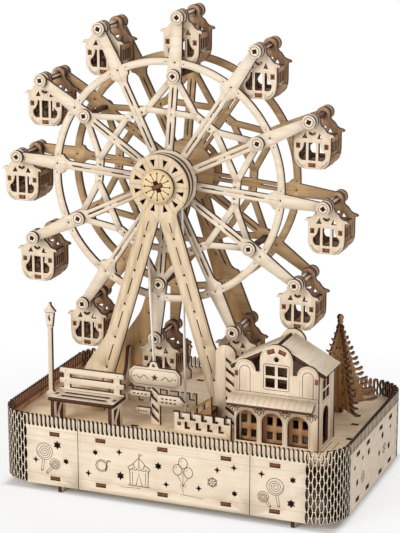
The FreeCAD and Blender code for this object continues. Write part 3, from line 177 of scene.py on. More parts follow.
def smooth(points, close=True, step=14):
    """Corners with a third number become arcs of that radius. The arc's middle lies on the
    bisector, radius / sin(half the corner's angle) away, and it starts and ends
    radius / tan(half the angle) from the corner. step is the most degrees of a flat."""
    out = []
    n = len(points)
    for i, point in enumerate(points):
        r = point[2] if len(point) > 2 else 0
        if not r or (not close and i in (0, n - 1)):
            out.append(np.array([point[:2]], float))
            continue
        p = np.array(point[:2], float)
        a = np.array(points[i - 1][:2], float) - p
        b = np.array(points[(i + 1) % n][:2], float) - p
        a, b = a / np.linalg.norm(a), b / np.linalg.norm(b)
        half = math.acos(max(-1.0, min(1.0, float(a @ b)))) / 2
        middle = p + (a + b) / np.linalg.norm(a + b) * r / math.sin(half)
        first, last = p + a * r / math.tan(half) - middle, p + b * r / math.tan(half) - middle
        t0 = math.degrees(math.atan2(first[1], first[0]))
        sweep = (math.degrees(math.atan2(last[1], last[0])) - t0 + 180) % 360 - 180
        count = max(2, int(abs(sweep) / step) + 1)
        out.append(arc(middle[0], middle[1], r, t0, t0 + sweep, count))
    out = np.vstack(out)
    apart = np.linalg.norm(out - np.roll(out, 1, 0), axis=1) > 1e-3
    return out[apart]


print("a corner of radius 2 becomes", len(smooth([(0, 0, 2), (9, 0), (9, 9)])) - 2, "points")

# %% [markdown]
# Many pieces are the same on the left and the right, and all engraving is a line with a
# width. A curve with a bevel could be that line, but it would be a tube and not flat.

# %% Mirrored halves and strokes
def both(side):
    """A right half from bottom to top, closed with its mirror."""
    side = smooth(side, close=False)
    return np.vstack([side, flip(side)])


def stroke(points, width, closed=False):
    """A line of this width: every point goes half the width along the mean of its two
    neighbours' normals, on both sides. A closed line gives an outline and a hole."""
    p = np.asarray(points, float)[:, :2]
    before, after = np.roll(p, 1, 0), np.roll(p, -1, 0)
    if not closed:
        before[0], after[-1] = p[0], p[-1]
    d = after - before
    d /= np.linalg.norm(d, axis=1)[:, None]
    n = np.column_stack([-d[:, 1], d[:, 0]]) * width / 2
    if closed:
        return [p - n, p + n] if area(p) > 0 else [p + n, p - n]
    return [np.vstack([p - n, (p + n)[::-1]])]


print("a line 2 mm wide and 9 mm long covers", area(stroke([(0, 0), (9, 0)], 2.0)[0]), "mm2")

# %% [markdown]
# ## Cutting a sheet
# The outline and the holes are filled once with triangles, that face is used for both
# sides of the sheet, and a wall joins them along every edge, as the laser leaves it. A
# Solidify modifier could do it too, but here each wall gets a finish of its own, and a map
# whose v is the depth in the sheet, because a burnt edge shows the plies.
#
# A piece's finishes always come in the order of these seven names. The last is there only
# where the inner side of a sheet gets painted shade, darker than its outer one.

# %% Planes and the names of the finishes' places
FRONT = ((1, 0, 0), (0, 0, 1), (0, 1, 0))
SIDE = ((0, 1, 0), (0, 0, 1), (1, 0, 0))
FLAT = ((1, 0, 0), (0, 1, 0), (0, 0, 1))
FACE, BURNT, ENGRAVED, TAB_END, CHARRED_AND_SHADE, FINE, INSIDE = range(7)
CORE_DEPTH = 0.5
MADE = []


def turning(loops):
    """Outline anticlockwise, holes clockwise."""
    out = []
    for i, loop in enumerate(loops):
        p = np.asarray(loop, float)[:, :2]
        out.append(p if (area(p) > 0) == (i == 0) else p[::-1])
    return out


def tilted(u, v):
    """A plane of its own: U and V as given, made 1 long, and W square to both."""
    u, v = (np.array(a, float) / np.linalg.norm(a) for a in (u, v))
    return u, v, np.cross(u, v)


print("senses", [area(p) > 0 for p in turning([rect(0, 0, 9, 9), rect(3, 3, 6, 6)])])

# %% [markdown]
# The cutter works on whole arrays: the points of all loops in one table, the walls as four
# columns of indices, and the finishes as one number for each face.

# %% The sheet cutter
class Cut:
    """Collects sheets of plywood and makes one object of them."""

    def __init__(self, name):
        self.name = name
        self.verts, self.faces, self.slots, self.uvs = [], [], [], []
        self.count = 0

    def fill(self, flat, ids):
        """Triangles between the outline and its holes, all anticlockwise."""
        filled = geometry.delaunay_2d_cdt([Vector(p) for p in flat], [], ids, 2, 1e-5)
        if len(filled[0]) != len(flat) or any(len(o) != 1 for o in filled[3]):
            raise ValueError("%s: cuts that touch in one sheet" % self.name)
        back = np.array([o[0] for o in filled[3]])
        tris = back[np.array(filled[2])]
        a, b, c = (flat[tris[:, k]] for k in range(3))
        turned_in = np.cross(b - a, c - a) < 0
        tris[turned_in] = tris[turned_in][:, ::-1]
        return tris

    def sheet(self, loops, plane, at=0.0, thick=SHEET, face=FACE, edge=BURNT,
              origin=(0, 0, 0), bend=None, deep=None):
        """Point (u, v) of the drawing becomes origin + u U + v V + w W, with w at the two
        faces; walls join the faces round every loop. Walls whose run is steeper than 30
        degrees get the finish deep, where it is given: the beam chars a narrow slot, and that
        finish also paints shade on the slot's walls, near black.
        face is one finish, or a pair for the two faces; a tab's end shows its core. With
        bend, a function of (points, w), plane says only whether that turns right-handed."""
        near, far = face if np.ndim(face) else (face, face)
        rings = turning(loops)
        flat = np.vstack(rings)
        n = len(flat)
        starts = np.cumsum([0] + [len(r) for r in rings])
        spans = list(zip(starts[:-1], starts[1:]))
        tris = self.fill(flat, [list(range(a, b)) for a, b in spans])
        here = np.arange(n)
        there = np.concatenate([np.roll(np.arange(a, b), -1) for a, b in spans])
        if bend is None:
            u, v, w = (np.array(axis, float) for axis in plane)
            base = np.array(origin, float) + flat[:, :1] * u + flat[:, 1:] * v
            low, high = base + at * w, base + (at + thick) * w
            right_handed = float(np.cross(u, v) @ w) > 0
        else:
            low, high = bend(flat, at), bend(flat, at + thick)
            right_handed = plane
        length = np.linalg.norm(flat[there] - flat, axis=1)
        along = np.concatenate([np.cumsum(length[a:b]) for a, b in spans])
        before, foot, head = along - length, 0 * along, 0 * along + 1
        uv = np.stack([np.column_stack(pair) for pair in
                       ((before, foot), (along, foot), (along, head), (before, head))], axis=1)
        walls = np.column_stack([here, there, there + n, here + n])
        if not right_handed:
            tris, walls, uv = tris[:, ::-1], walls[:, ::-1], uv[:, ::-1]
        if deep is not None:
            steep = np.abs(flat[there, 1] - flat[:, 1]) > 0.5 * length
            edge = np.where(steep, deep, edge)
        self.verts += [low, high]
        for block, slot, corners in ((tris[:, ::-1], near, flat[tris[:, ::-1]]),
                                     (tris + n, far, flat[tris]), (walls, edge, uv)):
            spots = corners.reshape(-1, 2)
            if block is not walls and np.ndim(slot) == 0 and slot == TAB_END:
                spots = spots * (1, 0) + (0, CORE_DEPTH)
            self.faces.append((block + self.count, block.shape[1]))
            self.slots.append(np.full(len(block), slot) if np.ndim(slot) == 0 else slot)
            self.uvs.append(spots)
        self.count += 2 * n

    def patch(self, loops, plane, face_at, out, slot=ENGRAVED, **more):
        """An engraved patch: a film on the face, a few hundredths proud of it."""
        low = face_at - 0.1 if out > 0 else face_at - 0.05
        self.sheet(loops, plane, low, 0.15, slot, slot, **more)

    def line(self, points, width, plane, face_at, out, closed=False, slot=ENGRAVED, **more):
        """An engraved line of this width."""
        self.patch(stroke(points, width, closed), plane, face_at, out, slot, **more)

    def make(self, body, nodes=(), slot="base_plywood", finishes=None):
        """One mesh from all sheets; millimetres become metres here."""
        sizes = np.concatenate([np.full(len(f), k) for f, k in self.faces])
        loops = np.concatenate([f.ravel() for f, k in self.faces])
        verts = np.vstack(self.verts) * 0.001
        mesh = bpy.data.meshes.new(self.name)
        mesh.vertices.add(len(verts))
        mesh.vertices.foreach_set("co", verts.ravel())
        mesh.loops.add(len(loops))
        mesh.loops.foreach_set("vertex_index", loops)
        mesh.polygons.add(len(sizes))
        mesh.polygons.foreach_set("loop_start", np.concatenate([[0], np.cumsum(sizes)[:-1]]))
        mesh.polygons.foreach_set("material_index", np.concatenate(self.slots))
        layer = mesh.uv_layers.new(name="Cut")
        layer.data.foreach_set("uv", np.vstack(self.uvs).ravel())
        mesh.update(calc_edges=True)
        mesh.validate()
        for finish in finishes or PLY:
            mesh.materials.append(finish)
        place_piece(self.name, mesh, body, nodes)


print("the cutter knows", [name for name in vars(Cut) if not name.startswith("_")])

# %% [markdown]
# Every piece goes the same way into the scene: it rides on a body and stands for the nodes
# that it replaces.

# %% Into the scene
def place_piece(name, mesh, body, nodes):
    """An object at the origin, its place in its mesh; it prints how many faces it has."""
    piece = bpy.data.objects.new(name, mesh)
    bpy.context.scene.collection.objects.link(piece)
    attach(piece, body)
    if nodes:
        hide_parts(*nodes)
    MADE.append((name, len(mesh.polygons)))
    print("  ", name, len(mesh.polygons), "faces")


# %% [markdown]
# ## Finishes
# The wood is basswood plywood: pale, close-grained, sanded, never varnished, so it is
# rough and hardly shines. The laser leaves brown to black edges, darker in the outer
# plies, and its engraving is a scorched line. An image of plywood would be quicker, but a
# pattern on Object coordinates runs through all pieces at one scale and has no seams.

# %% Colours and nodes
def hex_colour(text):
    """sRGB to linear: c / 12.92 below 0.04045, else ((c + 0.055) / 1.055) ^ 2.4."""
    c = np.array([int(text[i:i + 2], 16) / 255 for i in (1, 3, 5)])
    c = np.where(c <= 0.04045, c / 12.92, ((c + 0.055) / 1.055) ** 2.4)
    return (*c, 1.0)


def node(tree, kind, links=None, **settings):
    """One node: settings are its properties or, by name with _ for a space, its sockets,
    and links are {socket: output}."""
    made = tree.nodes.new(kind)
    for key, value in settings.items():
        if hasattr(made, key):
            setattr(made, key, value)
        else:
            made.inputs[key.replace("_", " ")].default_value = value
    for key, output in (links or {}).items():
        tree.links.new(output, made.inputs[key])
    return made


def new_finish(name):
    """A material with an empty tree."""
    finish = bpy.data.materials.new(name)
    finish.use_nodes = True
    finish.node_tree.nodes.clear()
    return finish, finish.node_tree


def principled(tree, links, **settings):
    """The Principled shader of a finish, joined to its output."""
    shader = node(tree, "ShaderNodeBsdfPrincipled", links, **settings)
    node(tree, "ShaderNodeOutputMaterial", {"Surface": shader.outputs[0]})


def two_tone(tree, value, dark, pale, start, stop):
    """A ramp from dark at start to pale at stop."""
    ramp = node(tree, "ShaderNodeValToRGB", {"Fac": value})
    for stop_mark, position, colour in zip(ramp.color_ramp.elements, (start, stop), (dark, pale)):
        stop_mark.position = position
        stop_mark.color = hex_colour(colour)
    return ramp.outputs[0]


print("middle grey in linear light", round(float(hex_colour("#808080")[0]), 3))

# %% [markdown]
# Bare plywood has two figures in its face: fine fibres, and broad bands where the knife
# peeled through the rings of the tree. Both are long in one direction, so each is a noise
# that is stretched along the grain. The fibres also make the surface a little uneven.

# %% Plywood faces
FIBRE, BAND = (0.5, 14.0, 2.0), (5.0, 80.0, 3.0)


def plywood(name, pale, deep, along):
    """Sanded basswood veneer. Fibres are 0.5 mm wide and about 14 mm long, and the broad
    figure is 5 mm wide and 80 mm long, both along one axis. A figure's scale is 1000 over
    its size in millimetres."""
    finish, tree = new_finish(name)
    place = node(tree, "ShaderNodeTexCoord").outputs["Object"]
    noises = []
    for wide, long, detail in (FIBRE, BAND):
        scale = [1000 / wide] * 3
        scale[along] = 1000 / long
        mapped = node(tree, "ShaderNodeMapping", {"Vector": place}, Scale=scale)
        noises.append(node(tree, "ShaderNodeTexNoise", {"Vector": mapped.outputs[0]},
                           Scale=1.0, Detail=detail, Roughness=0.55).outputs["Fac"])
    figure = node(tree, "ShaderNodeMix", {"A": noises[0], "B": noises[1]}, Factor=0.55)
    colour = two_tone(tree, figure.outputs[0], deep, pale, 0.36, 0.62)
    bump = node(tree, "ShaderNodeBump", {"Height": noises[0]}, Strength=0.25, Distance=0.00006)
    principled(tree, {"Base Color": colour, "Normal": bump.outputs[0]}, Roughness=0.68, IOR=1.45)
    return finish


# Bare basswood, grain to the right: the cream that most of the walls and the wheel show.
PLY_X = plywood("basswood_ply_grain_across", "#ECDCC8", "#DDCAB0", 0)
# The same sheet with its grain upright, on the cabins and the house: a shade yellower.
PLY_Z = plywood("basswood_ply_grain_upright", "#EAD8C1", "#DAC4A8", 2)
# The same with its grain from the front to the back, on turned pieces.
PLY_Y = plywood("basswood_ply_grain_back", "#EDDCC2", "#DAC4A2", 1)
# Painted shade: a darker tan on the wheel's rear face, for the shade behind the front; it sets the rear
# behind the front.
SHADE_TAN_X = plywood("painted_shade_ply_grain_across", "#D6B78C", "#B99265", 0)
# Painted shade: a brown for the shade on the stairs and the tree.
SHADE_TAN_Z = plywood("painted_shade_ply_grain_upright", "#B38A5C", "#86603A", 2)
# Painted light: the roof's veneer is drawn paler for the light that falls on it from above.
ROOF_LIGHT_Y = plywood("painted_light_roof_ply", "#F7EAD5", "#EBDABD", 1)
# Painted shade on the inner sides of the cabins: darker and redder than their fronts.
CABIN_SHADE_Z = plywood("painted_shade_cabin_ply", "#BE9A78", "#936C4C", 2)
# Painted shade on the inner sides of the walls, seen over the comb at the far side: a reddish brown.
WALL_SHADE_X = plywood("painted_shade_ply_inside_of_walls", "#C79571", "#A06B49", 0)
# Painted shade on the inner sides of the stand: a honey-coloured brown.
STAND_SHADE_Z = plywood("painted_shade_ply_stand_inside", "#D8B88C", "#BB9566", 2)
# Painted shade: a brown for the wall and ceiling inside the arcade, which lie in its shade.
HOUSE_SHADE_Z = plywood("painted_shade_ply_inner_wall", "#C0966A", "#976B42", 2)
# A warm deck: light from the walls and legs round it makes it look like that.
DECK_X = plywood("warm_deck_ply", "#FFEACB", "#F3D4AC", 0)
# The stand's outer faces, a touch warmer than the wheel behind them.
LEG_Z = plywood("warm_leg_ply_grain_upright", "#E4CFB2", "#CFB590", 2)
# The golden disc at the end of the axle.
GOLD_X = plywood("golden_ply_disc", "#E9D2A8", "#D6B98C", 0)
print("faces of plywood", len(bpy.data.materials))

# %% [markdown]
# A laser burns its way through, so an edge is brown to black. The two outer plies burn
# darker than the core, and the beam leaves upright streaks. Engraving is the same char,
# only shallow: a patchy brown line.

# %% Burnt edges and engraving
def burnt(name, outer, core, spots):
    """A laser-cut edge. v of the piece's map is the depth: the colour goes from outer to
    core to spots, in the middle, and back. Streaks about 1 mm apart lay outer over it."""
    finish, tree = new_finish(name)
    uv = node(tree, "ShaderNodeUVMap", uv_map="Cut").outputs[0]
    depth = node(tree, "ShaderNodeSeparateXYZ", {"Vector": uv}).outputs["Y"]
    plies = node(tree, "ShaderNodeValToRGB", {"Fac": depth})
    stops = plies.color_ramp.elements
    stops[0].color = stops[1].color = hex_colour(outer)
    for position, colour in ((0.28, core), (CORE_DEPTH, spots), (0.72, core)):
        stops.new(position).color = hex_colour(colour)
    stretched = node(tree, "ShaderNodeMapping", {"Vector": uv}, Scale=(1.1, 1.5, 1.0))
    noise = node(tree, "ShaderNodeTexNoise", {"Vector": stretched.outputs[0]}, Scale=1.0, Detail=3.0)
    streak = node(tree, "ShaderNodeMapRange", {"Value": noise.outputs["Fac"]}, From_Min=0.35,
                  From_Max=0.65, To_Min=0.0, To_Max=0.75)
    mixed = node(tree, "ShaderNodeMix", {0: streak.outputs[0]}, data_type="RGBA")
    tree.links.new(plies.outputs[0], mixed.inputs[6])
    mixed.inputs[7].default_value = hex_colour(outer)
    principled(tree, {"Base Color": mixed.outputs[2]}, Roughness=0.8, IOR=1.45)
    return finish


def scorched(name, dark, pale):
    """Charred wood of uneven depth: noise of scale 500, so patches about 2 mm long."""
    finish, tree = new_finish(name)
    place = node(tree, "ShaderNodeTexCoord").outputs["Object"]
    noise = node(tree, "ShaderNodeTexNoise", {"Vector": place}, Scale=500.0, Detail=2.0)
    colour = two_tone(tree, noise.outputs["Fac"], dark, pale, 0.35, 0.65)
    principled(tree, {"Base Color": colour}, Roughness=0.85, IOR=1.45)
    return finish


# The sawn edge of every sheet: a dark rim that outlines each piece.
EDGE = burnt("laser_burnt_ply_edge", "#1B0C06", "#552A15", "#784224")
# The end of a tab in its slot: more of the beam's heat has gone, so it is a redder brown.
TAB = burnt("burnt_tab_end", "#33180C", "#7A4526", "#9C6038")
# A deep engraved line: nearly black, with brown where the beam ran faster.
LINE = scorched("engraved_line", "#2A160B", "#59371D")
# A shallow line, such as a plank's joint: a tan that is hardly darker than the wood.
FAINT = scorched("shallow_engraved_line", "#A5825A", "#C4A67E")
# Charred end grain on the pins' ends, and painted shade: near black on the steep walls of
# narrow slots, on the pulley's cheek behind the stand and on the liner inside the house.
CHAR_AND_SHADE = scorched("charred_end_grain_and_painted_shade", "#160A05", "#2A150A")
print("finishes", len(bpy.data.materials))

# %% [markdown]
# A piece needs its face's veneer and the five finishes that the laser leaves, in the order
# of the names above. The fifth is also painted shade, near black where shade lies deep.

# %% Sets of finishes
def sheet_of(veneer, inside=None):
    """The six finishes of a sheet, and a seventh with painted shade for an inner side."""
    return [veneer, EDGE, LINE, TAB, CHAR_AND_SHADE, FAINT] + ([inside] if inside else [])


PLY, PLY_UP, REAR = sheet_of(PLY_X), sheet_of(PLY_Z), sheet_of(SHADE_TAN_X)
SHADED, INNER, FLOOR = sheet_of(SHADE_TAN_Z), sheet_of(HOUSE_SHADE_Z), sheet_of(DECK_X)
ROOF, GOLD = sheet_of(ROOF_LIGHT_Y), sheet_of(GOLD_X)
WALL, CABIN, STAND_PLY = (sheet_of(*pair) for pair in
                          ((PLY_X, WALL_SHADE_X), (PLY_Z, CABIN_SHADE_Z), (LEG_Z, STAND_SHADE_Z)))
print("a wall is made of", [finish.name for finish in WALL])

# %% [markdown]
# ## The camera and the light
# The camera stands where the photograph's does: 21 degrees round to the right and 15 above,
# 1.4 m away with a long lens. One broad lamp in front and to the left lights the faces,
# weaker ones fill from the right and the back, and the white surroundings do the rest.

# %% Camera and lamps
CAMERA_AT, LOOKS_AT = (0.5292, -1.33395, 0.5590), (0.0104, -0.00865, 0.1653)
LENS_MM, FILM_MM = 130.2, 36.0


def aim(obj, at, target):
    """The object's own -Z axis points from at to the target, with +Y up."""
    obj.location = at
    obj.rotation_euler = (Vector(target) - Vector(at)).to_track_quat("-Z", "Y").to_euler()


def lamp(name, at, target, width, watts, tint):
    """A square lamp, width in metres."""
    light = bpy.data.objects.new(name, bpy.data.lights.new(name, "AREA"))
    light.data.size = width
    light.data.energy = watts
    light.data.color = tint
    bpy.context.scene.collection.objects.link(light)
    aim(light, at, target)


camera = bpy.data.objects.new("camera", bpy.data.cameras.new("camera"))
camera.data.lens = LENS_MM
camera.data.sensor_width = FILM_MM
bpy.context.scene.collection.objects.link(camera)
aim(camera, CAMERA_AT, LOOKS_AT)
bpy.context.scene.camera = camera
lamp("key", (-0.75, -1.55, 0.95), (0, 0, 0.17), 0.9, 23.0, (1.0, 0.985, 0.96))
lamp("fill", (1.5, -0.9, 0.7), (0, 0, 0.15), 1.2, 8.0, (1.0, 1.0, 1.0))
lamp("back", (0.3, 1.5, 1.1), (0, 0, 0.2), 1.2, 8.0, (1.0, 1.0, 1.0))
print("camera", round((Vector(LOOKS_AT) - Vector(CAMERA_AT)).length, 3), "m away")

# %% [markdown]
# The surroundings are white to the eye, but would light the wood too strongly at that
# level. Light Path tells the two apart: a ray from the camera, a mirror or a pane sees the
# full white, and a ray that lights something gets about a third of it.

# %% The white surroundings
def maths(tree, operation, one, other):
    """The larger of two values with MAXIMUM, or their product with MULTIPLY."""
    return node(tree, "ShaderNodeMath", {0: one, 1: other}, operation=operation).outputs[0]


def looked_at(tree):
    """1 for a ray that sees, 0 for one that lights: the largest of Light Path's answers."""
    rays = node(tree, "ShaderNodeLightPath").outputs
    seen = maths(tree, "MAXIMUM", rays["Is Camera Ray"], rays["Is Glossy Ray"])
    return maths(tree, "MAXIMUM", seen, rays["Is Transmission Ray"])


WHITE = (1.0, 1.0, 1.0, 1.0)
world = bpy.data.worlds.new("studio")
bpy.context.scene.world = world
world.use_nodes = True
world.node_tree.nodes.clear()
level = node(world.node_tree, "ShaderNodeMapRange", {"Value": looked_at(world.node_tree)},
             To_Min=0.34, To_Max=1.0)
ground = node(world.node_tree, "ShaderNodeBackground", {"Strength": level.outputs[0]}, Color=WHITE)
node(world.node_tree, "ShaderNodeOutputWorld", {"Surface": ground.outputs[0]})
bpy.context.scene.view_settings.view_transform = "Standard"
print("light of the surroundings", level.inputs["To Min"].default_value)

# %% [markdown]
# The floor is white paper. It must keep the soft shadow near the base and be as white as
# the surroundings further off, so it is part paper and part glow: the glow grows from
# three quarters near the base to the whole at 0.34 m, and stops under the base, where no
# light may come up through the gaps.

# %% The paper floor
def largest_of(tree, vector):
    """The larger of |x| and |y|, by which a square is drawn round the origin."""
    positive = node(tree, "ShaderNodeVectorMath", {0: vector}, operation="ABSOLUTE")
    parts = node(tree, "ShaderNodeSeparateXYZ", {"Vector": positive.outputs[0]})
    return maths(tree, "MAXIMUM", parts.outputs[0], parts.outputs[1])


BELOW = -0.0001
floor_mesh = bpy.data.meshes.new("floor")
floor_mesh.from_pydata([(-6, -4, BELOW), (6, -4, BELOW), (6, 12, BELOW), (-6, 12, BELOW)], [],
                       [(0, 1, 2, 3)])
floor = bpy.data.objects.new("floor", floor_mesh)
bpy.context.scene.collection.objects.link(floor)
paper, tree = new_finish("white_paper_floor")
shade = node(tree, "ShaderNodeBsdfDiffuse", Color=(0.93, 0.93, 0.93, 1.0))
glow = node(tree, "ShaderNodeEmission", Color=WHITE, Strength=1.0)
place = node(tree, "ShaderNodeTexCoord").outputs["Object"]
away = node(tree, "ShaderNodeVectorMath", {0: place}, operation="LENGTH")
bright = node(tree, "ShaderNodeMapRange", {"Value": away.outputs["Value"]}, From_Min=0.16,
              From_Max=0.34, To_Min=0.74, To_Max=1.0)
per_base = (1000 / HALF_X, 1000 / HALF_Y, 1.0)
in_base = node(tree, "ShaderNodeMapping", {"Vector": place}, Scale=per_base,
               Location=(-MID[0] / HALF_X, -MID[1] / HALF_Y, 0.0))
outside = node(tree, "ShaderNodeMapRange", {"Value": largest_of(tree, in_base.outputs[0])},
               From_Min=0.95, From_Max=1.0, To_Min=0.0, To_Max=1.0)
share = maths(tree, "MULTIPLY", bright.outputs[0], looked_at(tree))
share = maths(tree, "MULTIPLY", share, outside.outputs[0])
shader = node(tree, "ShaderNodeMixShader", {0: share, 1: shade.outputs[0], 2: glow.outputs[0]})
node(tree, "ShaderNodeOutputMaterial", {"Surface": shader.outputs[0]})
floor_mesh.materials.append(paper)
print("floor", [round(side, 1) for side in floor.dimensions], "m")

# %% [markdown]
# ## The wheel's two faces
# Each face of the real wheel is one sheet: a hub plate, twelve arms, a ring and a star of
# bars that joins six inner pins. One outline with a hundred windows would be hard to read
# and to change, so the bars are drawn one by one, edge to edge, and look like one sheet.

# %% The wheel's own measures
HUB_R, STAR_R, DOT_R = 24.0, 81.0, 91.1
RING_IN, RING_OUT = 88.5, 94.0
HALF, CROSS, TIP_HALF, COLLAR = 3.2, 5.2, 3.4, 7.4
WIDE = HALF + 2.4
JOINT_R, JOINT_A, STRUT, BRIDGE = 56.5, 20.6, 4.6, 6.2
PIN = 3.0
ARM_STEP, STAR_STEP = 360 / ARMS, 360 / STARS


def on_wheel(points, degrees=0.0):
    """From the first arm's own axes to the picture's: turned and moved to the hub."""
    return move(turn(points, FIRST + degrees), *HUB)


def beside(radius, offset):
    """How far out a line beside an arm's axis meets a circle: sqrt(r^2 - offset^2)."""
    return math.sqrt(radius ** 2 - offset ** 2)


def pin_hole(radius, degrees, play=0.05):
    """A square hole on its point."""
    h = PIN / 2 + play
    return on_wheel(move(turn(rect(-h, -h, h, h), 45), radius, 0), degrees)


def cross_loop(play):
    """A hole for one whole flat bar and two halves across it."""
    long, thin = 4.2 + play, SHEET / 2 + play
    return np.array([(long, -thin), (long, thin), (thin, thin), (thin, long), (-thin, long),
                     (-thin, thin), (-long, thin), (-long, -thin), (-thin, -thin),
                     (-thin, -long), (thin, -long), (thin, -thin)])


print("the ring is", RING_OUT - RING_IN, "mm wide; an arm is", TIP - HUB_R, "mm long")

# %% [markdown]
# There are two kinds of arm. A plain one widens to a collar under the ring. The other,
# every second one, carries a pin of the star, and the star's struts leave it on both
# sides; where they leave is worked out as the crossing of two lines.

# %% Two kinds of arm
star_out = (STAR_R, 0.0)
joint = turn([(JOINT_R, 0)], JOINT_A)[0]
strut_dir = joint - star_out
strut_side = np.array([-strut_dir[1], strut_dir[0]]) / np.linalg.norm(strut_dir) * STRUT / 2
strut_low, strut_high = star_out + strut_side, star_out - strut_side
leaves = meet(strut_low, strut_dir, (0, HALF), (1, 0))
widens = meet(strut_high, strut_dir, (0, WIDE), (1, 0))


def arm_loop(side):
    """One side of an arm, a round tip, and the mirror of both."""
    tip = arc(TIP, 0, TIP_HALF, 80, 8, 7)
    right = np.vstack([smooth(side, close=False), tip])
    return np.vstack([right, (right * (1, -1))[::-1]])


over_ring = [(beside(RING_IN, CROSS), CROSS), (beside(RING_OUT, CROSS), CROSS)]
knee = beside(RING_IN, COLLAR)
star_arm = arm_loop([(HUB_R, HALF), tuple(leaves), tuple(widens), (STAR_R + 3, WIDE)] + over_ring)
plain_arm = arm_loop([(HUB_R, HALF), (knee - 7.5, HALF), (knee - 4.2, HALF + 1.6),
                      (knee - 2.0, COLLAR), (knee, COLLAR)] + over_ring)
print("a strut leaves its arm", round(float(leaves[0]), 1), "mm from the hub")

# %% [markdown]
# Between two arms of the star lie a chord, a short bridge and a forked strut. They share
# corners, so every end is again the crossing of two lines, and the bars stay joined when a
# width above changes.

# %% The bars of the star
def star_bars():
    """Chord, bridge and strut on one side of a star arm, edge to edge. The chord runs
    across the arm at the joint's distance, the bridge along the next arm's square, and
    both end on the line from the hub through the joint."""
    radial = turn([(1, 0)], JOINT_A)[0]
    low, high = joint[0] - STRUT / 2, joint[0] + STRUT / 2
    across = turn([(0, 1)], ARM_STEP)[0]
    middle = turn([joint], -ARM_STEP)[0][0]
    ends = []
    for u in (middle - BRIDGE / 2, middle + BRIDGE / 2):
        start = turn([(u, -HALF)], ARM_STEP)[0]
        ends.append((start, meet(start, across, (0, 0), radial)))
    low_end, high_end = (meet((c, 0), (0, 1), (0, 0), radial) for c in (low, high))
    strut_in = meet(strut_low, strut_dir, (high, 0), (0, 1))
    strut_out = meet(strut_high, strut_dir, ends[1][1], across)
    return ([(low, HALF), (high, HALF), high_end, low_end],
            [ends[0][0], ends[1][0], ends[1][1], ends[0][1]],
            [leaves, widens, strut_out, ends[1][1], high_end, strut_in])


print("bars of the star, corners:", [len(bar) for bar in star_bars()])

# %% [markdown]
# The laser also leaves a long slit down the middle of each arm, with pointed ends, dots
# where two slits nearly meet, and a fine engraved seam between the slits of a plain arm.

# %% Slits and dots
SLIT, SLIT_POINT = 1.2, 2.5
STAR_SLITS, STAR_DOTS = ((27.5, 46.5), (55.5, 73.5)), ((51.6, 0.6), (DOT_R, 0.7))
PLAIN_SLITS, PLAIN_DOTS = ((27.0, 46.5), (61.5, 79.5)), ((DOT_R, 0.7),)
PLAIN_SEAMS = ((48.0, 60.0, 0.35), (81.0, 89.5, 0.3))


def slit(start, stop):
    """A long slit with pointed ends along the arm."""
    h = SLIT / 2
    return np.array([(start, 0), (start + SLIT_POINT, -h), (stop - SLIT_POINT, -h), (stop, 0),
                     (stop - SLIT_POINT, h), (start + SLIT_POINT, h)])


def arm_loops(k):
    """Outline, pin holes, slits and dots of arm k, in the picture's axes."""
    has_star = k % 2 == 0
    slits, dots = (STAR_SLITS, STAR_DOTS) if has_star else (PLAIN_SLITS, PLAIN_DOTS)
    drawn = [star_arm if has_star else plain_arm]
    drawn += [slit(*ends) for ends in slits] + [disc(out, 0, r, 10) for out, r in dots]
    pins = [pin_hole(TIP, k * ARM_STEP)] + ([pin_hole(STAR_R, k * ARM_STEP)] if has_star else [])
    return [on_wheel(p, k * ARM_STEP) for p in drawn] + pins


def ring_loops():
    """The ring from one arm's side to the next one's, with a dot near each arm."""
    inner = math.degrees(math.asin(CROSS / RING_IN))
    outer = math.degrees(math.asin(CROSS / RING_OUT))
    ring = np.vstack([arc(0, 0, RING_OUT, outer, ARM_STEP - outer, 13),
                      arc(0, 0, RING_IN, ARM_STEP - inner, inner, 13)])
    return [ring] + [disc(*turn([(DOT_R, 0)], a)[0], 0.5, 8) for a in (4.4, ARM_STEP - 4.4)]


print("loops in a star arm and a plain arm:", len(arm_loops(0)), len(arm_loops(1)))

# %% [markdown]
# Now the two faces are cut. They are mirror images in their places, but not in their
# drawing, since both are seen through each other from the front.

# %% Both faces of the wheel
NOTCH, NOTCH_A, BAR_DOT, BAR_DOT_A = 55.0, 25.4, 55.8, 21.6


